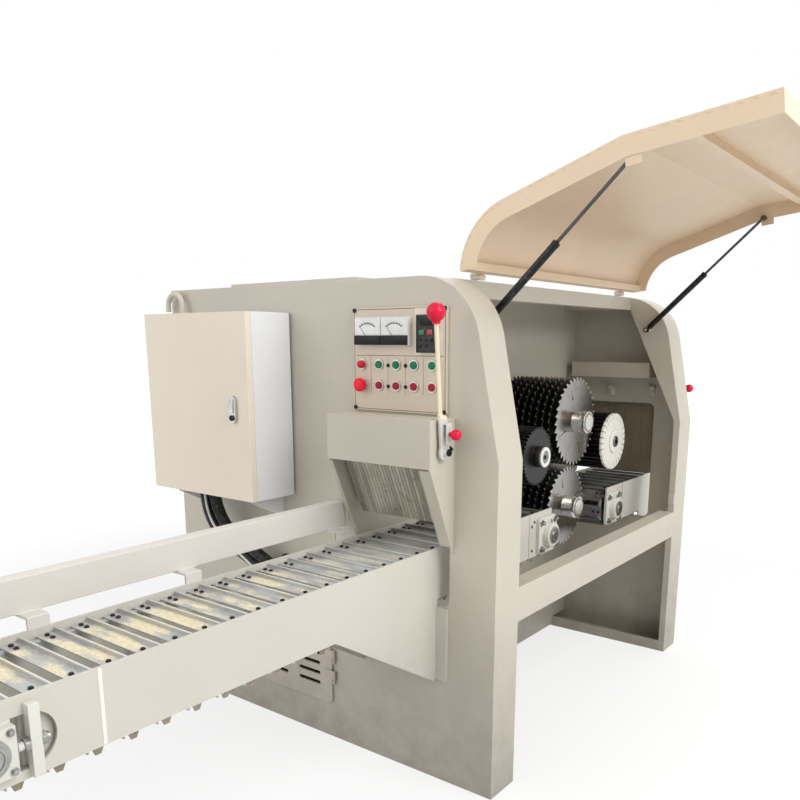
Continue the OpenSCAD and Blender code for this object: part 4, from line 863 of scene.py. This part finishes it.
barrel = repeat(barrel, [way((latch_x, latch_y, latch_z - 0.026), (0, -1, 0))])
fit(barrel, "latch_barrel", black_steel, "door_latch")
gear_front = -0.8065
gear_black = plastic("switchgear_plastic", srgb(70, 72, 74), 0.45)
tree = gear_black.node_tree
on_plate = ramp(tree, place_of(tree)[1], gear_front - 0.0006, gear_front - 0.0002)
two_tone = blend_colour(tree, on_plate, srgb(58, 60, 62), srgb(196, 199, 198))
paint_with(tree, two_tone)
dress("switchgear", gear_black, 0.001)
terminal = sunk(drum(0.0042, 0.0018, 12), 0.0014, 0.0010)
rocker = slab(0.030, 0.034, 0.005, 0.0012)
duct = slab(0.404, 0.034, 0.042, 0.0015)
units = [Vector((-0.499 + 0.076 * column, -0.8765 + 0.012 * row, 0.960 + 0.160 * row))
         for row in range(3) for column in range(5)]
ends = [way(unit + Vector((dx, 0, dz)), (0, -1, 0)) for unit in units
        for dx in (-0.018, 0, 0.018) for dz in (-0.036, 0.036)]
fit(repeat(terminal, ends), "switchgear_terminals", bolt_steel)
fit(repeat(rocker, [way(unit, (0, -1, 0), (1, 0, 0)) for unit in units]), "switchgear_rockers",
    plastic("rocker_grey", srgb(150, 152, 152), 0.4))
ducts = [way((-0.339, gear_front, z), (0, -1, 0), (1, 0, 0)) for z in (1.040, 1.200, 1.353)]
fit(repeat(duct, ducts), "wire_ducts", plastic("duct_grey", srgb(168, 171, 172), 0.5))


# Conduits: two black hoses and a thin pale cable from glands under the box, in one wide bend
# to elbows on the front wall. They hold their shape and are fixed at both ends.
bend_r, bend_turn = 0.170, math.radians(62)


def bend_at(x, z, share):
    a = bend_turn * share
    return Vector((x + bend_r * (1 - math.cos(a)), 0, z - bend_r * math.sin(a)))


run_way = Vector((math.sin(bend_turn), 0, -math.cos(bend_turn)))
box_floor = 0.835
hose_y, hose_r = wall_y - 0.097, 0.020
hose_starts = ((-0.435, 0.800), (-0.387, 0.822))


def smooth_line(points, steps):
    line = []
    for i in range(len(points) - 1):
        a, b, c, d = points[max(i - 1, 0)], points[i], points[i + 1], points[min(i + 2, len(points) - 1)]
        for k in range(steps):
            t = k / steps
            line.append(0.5 * (2 * b + (c - a) * t + (2 * a - 5 * b + 4 * c - d) * t * t
                               + (3 * b - a - 3 * c + d) * t ** 3))
    return line + [points[-1]]


def hose(name, line, radius, material):
    curve = bpy.data.curves.new(name, "CURVE")
    curve.dimensions = "3D"
    curve.bevel_depth = radius
    curve.bevel_resolution = 5
    curve.use_fill_caps = True
    spline = curve.splines.new("POLY")
    spline.points.add(len(line) - 1)
    for point, at in zip(spline.points, line):
        point.co = (*at, 1)
    spline.use_smooth = True
    made = bpy.data.objects.new(name, curve)
    bpy.context.collection.objects.link(made)
    curve.materials.append(material)
    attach(made, "machine_frame")
    return made


hose_rubber = plastic("hose_rubber", srgb(30, 30, 31), 0.42, 0.12, 0.1)
cable_grey = plastic("cable_sheath", srgb(208, 208, 202), 0.4, 0.1)
elbows = []
for k, (x, z) in enumerate(hose_starts):
    points = [Vector((x, hose_y, box_floor)), Vector((x, hose_y, (box_floor + z) / 2))]
    for i in range(5):
        points.append(bend_at(x, z, i / 4) + Vector((0, hose_y + 0.003 * i, 0)))
    for i in (1, 2, 3):
        points.append(bend_at(x, z, 1) + run_way * 0.060 * i + Vector((0, hose_y + 0.012 + 0.023 * i / 3, 0)))
    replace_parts(hose("conduit_%d" % (k + 1), smooth_line(points, 4), hose_r, hose_rubber), "conduits")
    elbows.append(bend_at(x, z, 1) + run_way * 0.180)
x, z, cable_y = -0.399, 0.822, wall_y - 0.130
points = [Vector((x, cable_y, box_floor)), Vector((x, cable_y, (box_floor + z) / 2))]
points += [bend_at(x, z, i / 4) + Vector((0, cable_y, 0)) for i in range(5)]
points += [bend_at(x, z, 1) + run_way * 0.060 * i + Vector((0, cable_y, 0)) for i in (1, 2)]
last, turn_r = elbows[1] - Vector((0.012, 0, 0)), 0.035
for i in range(4):
    a = math.radians(30 * i)
    points.append(last - run_way * turn_r * (1 - math.sin(a)) + Vector((0, cable_y + turn_r * (1 - math.cos(a)), 0)))
points.append(last + Vector((0, wall_y - 0.088, 0)))
hose("thin_cable", smooth_line(points, 3), 0.004, cable_grey)
elbow = drum(0.033, 0.006, 32)
edit(elbow, top_face)
bpy.ops.mesh.inset(thickness=0.0085)
push(0.0835)
push(0.0035, 0.84)
close()
chamfer(elbow, 0.0012)
elbow = repeat(elbow, [way((at.x, wall_y, at.z), (0, -1, 0)) for at in elbows])
fit(elbow, "conduit_elbows", hose_rubber)
gland = drum(0.029, 0.010, 6)
edit(gland, top_face)
bpy.ops.mesh.inset(thickness=0.003)
push(0.022, 0.9)
close()
chamfer(gland, 0.001)
glands = repeat(gland, [way((x, hose_y, box_floor), (0, 0, -1)) for x, z in hose_starts])
fit(glands, "conduit_glands", hose_rubber)


# Control panel: a beige plate on the front wall with two panel meters, a display unit,
# a power lamp, a mushroom stop and eight push buttons in plated rings.
panel_left, panel_right, panel_low, panel_top, panel_y = 0.186, 0.526, 1.131, 1.428, -0.7905
columns = (0.222, 0.286, 0.350, 0.414, 0.478)
row_high, row_low = 1.266, 1.206
dress("panel_plate", enamel("panel_face", srgb(206, 192, 174), cloud=0.3, dust=0.0, edge_highlight=0.1), 0.0008)
dress("panel_instruments", plastic("instrument_case", srgb(218, 218, 218), 0.4), 0.0010)
dress("button_bezels", steel("ring_plating", rolled, {"Colour": srgb(192, 190, 184), "Stain": 0.15}), 0.0005)
line_black = plastic("line_black", srgb(58, 52, 48), 0.5)
face = (0, -1, 0)


def on_panel(x, z, y=panel_y):
    return way((x, y, z), face, (1, 0, 0))


lines = []
rule_z, split_z, split_h = 1.292, 1.236, 0.104
middle_x, middle_z = (panel_left + panel_right) / 2, (panel_low + panel_top) / 2
panel_w, panel_h = panel_right - panel_left - 0.010, panel_top - panel_low - 0.010
for x, z, wide, high in [(middle_x, rule_z, 0.318, 0.0012)] + [
        (x + 0.032, split_z, 0.0008, split_h) for x in columns[:4]] + [
        (middle_x, middle_z + side * panel_h / 2, panel_w, 0.0014) for side in (-1, 1)] + [
        (middle_x + side * panel_w / 2, middle_z, 0.0014, panel_h) for side in (-1, 1)]:
    lines.append(repeat(slab(wide, high, 0.0004, 0.0001, 1), [on_panel(x, z)]))
fit(together(lines), "panel_lines", line_black)
screw = sunk(drum(0.0064, 0.004, 20), 0.0034, 0.0015, 0.0006)
screw_in = 0.007
corners = [on_panel(x, z) for x in (panel_left + screw_in, panel_right - screw_in)
           for z in (panel_low + screw_in, panel_top - screw_in)]
fit(repeat(screw, corners), "panel_screws", black_steel)


# Meters: two moulded cases, each with a white dial that carries a black arc, ticks and a needle.
# A black cover is snapped over the lower part of each.
meter_y, hub_z, dial_z, cover_z = -0.8055, 1.3375, 1.3745, 1.3355
meters = (0.253, 0.353)
dials = repeat(slab(0.093, 0.047, 0.0006, 0.0002, 1), [on_panel(x, dial_z, meter_y) for x in meters])
covers = repeat(slab(0.0985, 0.027, 0.0030, 0.0010), [on_panel(x, cover_z, meter_y) for x in meters])


def on_dial(x, angle, reach, lift=0.0006):
    a = math.radians(angle)
    out_by = Vector((math.cos(a), 0, math.sin(a)))
    return way(Vector((x, meter_y - lift, hub_z)) + out_by * reach, face, (out_by.z, 0, -out_by.x))


marks = []
steps = [52 + 76 * i / 30 for i in range(31)]
between = [a for i, a in enumerate(steps) if i % 5]
for wide, tall, angles in ((0.0013, 0.0060, steps[::5]), (0.0007, 0.0034, between)):
    tick = slab(wide, tall, 0.0003, 0.0001, 1)
    marks.append(repeat(tick, [on_dial(x, a, 0.0450 + tall / 2) for x in meters for a in angles]))
arc = slab(0.0026, 0.0014, 0.0003, 0.0001, 1)
marks.append(repeat(arc, [on_dial(x, 52.5 + 3 * i, 0.0446) for x in meters for i in range(26)]))
needle = slab(0.0016, 0.034, 0.0004)
edit(needle, lambda side: side.normal.y > 0.9)
bpy.ops.transform.resize(value=(0.4, 1, 1))
close()
marks.append(repeat(needle, [on_dial(x, 126, 0.0280, 0.0007) for x in meters]))
dial_white = plastic("dial_white", srgb(228, 229, 228), 0.55)
cover_black = plastic("cover_black", srgb(14, 13, 14), 0.38, 0.02)
fit(dials, "meter_dials", dial_white)
fit(covers, "meter_covers", cover_black)
fit(together(marks), "meter_marks", cover_black)


# Display unit: a dark moulded face with a glossy window, clipped into a cream surround.
# It has a green key, a red key and two rows of round black keys.
key_x, key_z, key_y, surround_z = 0.464, 1.353, -0.8025, 1.359
surround = repeat(slab(0.096, 0.128, 0.0006, 0.0002, 1), [on_panel(key_x, surround_z)])
fit(surround, "display_surround", plastic("surround_cream", srgb(226, 216, 201), 0.5))
cover = sunk(slab(0.0675, 0.1035, 0.0032, 0.0014, 3), 0.004, 0.0007)
cover = repeat(cover, [on_panel(key_x, key_z, key_y)])
fit(cover, "display_face", plastic("display_grey", srgb(48, 49, 52), 0.45))
window = repeat(slab(0.048, 0.022, 0.0012, 0.0005), [on_panel(key_x, key_z + 0.033, key_y - 0.0025)])
fit(window, "display_window", cover_black)
for label, dx, colour in (("green_key", -0.014, (58, 122, 84)), ("red_key", 0.014, (190, 74, 84))):
    key = repeat(slab(0.017, 0.013, 0.0026, 0.0009), [on_panel(key_x + dx, key_z + 0.004, key_y - 0.0024)])
    fit(key, label, plastic(label, srgb(*colour), 0.3))
dots = drum(0.0052, 0.0024, 20)
chamfer(dots, 0.0007)
spots = [on_panel(key_x + dx, key_z + dz, key_y - 0.0024) for dx in (-0.019, 0, 0.019) for dz in (-0.016, -0.033)]
fit(repeat(dots, spots), "display_keys", plastic("key_black", srgb(22, 22, 24), 0.35))


# Lamp, signal dots and buttons: moulded caps, screwed into plated rings in the panel.
# The stop button is a red mushroom with a domed top.
dome = raised(drum(0.0116, 0.010, 28), (0.0042, 0.82), (0.0022, 0.6))
dome = repeat(dome, [on_panel(columns[0], row_high, panel_y - 0.002)])
fit(dome, "power_lamp", plastic("lamp_red", srgb(196, 24, 52), 0.2))
dot = drum(0.0058, 0.0022, 16)
chamfer(dot, 0.0008)
spots = [on_panel(x + 0.033, z) for x in columns[1:3] for z in (row_high - 0.002, row_low - 0.002)]
fit(repeat(dot, spots), "signal_dots", cover_black)
button_green = plastic("button_green", srgb(10, 112, 74), 0.35)
button_red = plastic("button_red", srgb(158, 14, 40), 0.35)
stop_red = plastic("stop_red", srgb(232, 22, 52), 0.35)
for i in range(1, 5):
    dress("green_button_%d" % i, button_green, 0.002, 3)
    dress("red_button_%d" % i, button_red, 0.002, 3)
dress("stop_button", stop_red, 0.0018, 3)
dome = raised(drum(0.0168, 0.0006, 36), (0.0014, 0.93), (0.0012, 0.85), (0.0009, 0.72), (0.0005, 0.5))
dome = repeat(dome, [on_panel(columns[0], row_low, panel_y - 0.022)])
fit(dome, "stop_button_dome", stop_red, "stop_button")


# Hood: a rolled and folded sheet on three knuckles at the roof beam, peach enamel,
# with stitch welds along the rim where the end plates meet the skin.
peach = enamel("hood_enamel", srgb(226, 203, 174), cloud=0.5, dust=0.05)
dress("hood", peach)
hinge = Vector((0.454, 0, 1.521))
opened = Matrix.Translation(hinge) @ Matrix.Rotation(math.radians(-97), 4, "Y") @ Matrix.Translation(-hinge)
rim_y = -0.6445
arc_x, arc_z, arc_r = 0.4282, 1.310, 0.200
stitch = slab(0.013, 0.0034, 0.0012, 0.0005)
spots = []
for i in range(9):
    a = math.radians(16 + 7 * i)
    out_by = Vector((math.cos(a), 0, math.sin(a)))
    spots.append((Vector((arc_x, rim_y, arc_z)) + out_by * (arc_r - 0.006), (-out_by.z, 0, out_by.x)))
for i in range(10):
    share = (i + 0.5) / 10
    spots.append((Vector((0.690 - 0.070 * share, rim_y, 1.012 + 0.330 * share)), (-0.2075, 0, 0.9782)))
for i in range(10):
    spots.append((Vector((0.689, rim_y, 0.66 + 0.034 * i)), (0, 0, 1)))
stitches = repeat(stitch, [opened @ way(at, face, along) for at, along in spots])
fit(stitches, "hood_stitches", peach, "hood")


# Gas struts: black lacquered tubes with a rolled end collar, and a dark nitrided rod
# that slides in each of them, held on studs at both ends.
strut_black = plastic("strut_lacquer", srgb(26, 26, 27), 0.22, 0.1)
rod_steel = steel("rod_steel", rolled, {"Colour": srgb(92, 92, 94), "Stain": 0.2, "Stretch": (0.2, 1, 0.2)})
strut_foot_x, strut_foot_z, tube_end = 0.540, 1.378, 0.2938
strut_way = Vector((0.72366, 0, 0.69016))
for side, y in (("front", -0.6225), ("rear", 0.6225)):
    dress(side + "_strut_cylinder", strut_black, 0.0008)
    dress(side + "_strut_rod", rod_steel, 0.0006)
    collar = drum(0.0118, 0.012, 28)
    chamfer(collar, 0.002, 3)
    foot = Vector((strut_foot_x, y, strut_foot_z))
    collar = repeat(collar, [way(foot + strut_way * tube_end, strut_way)])
    fit(collar, side + "_strut_collar", strut_black, side + "_strut_cylinder")
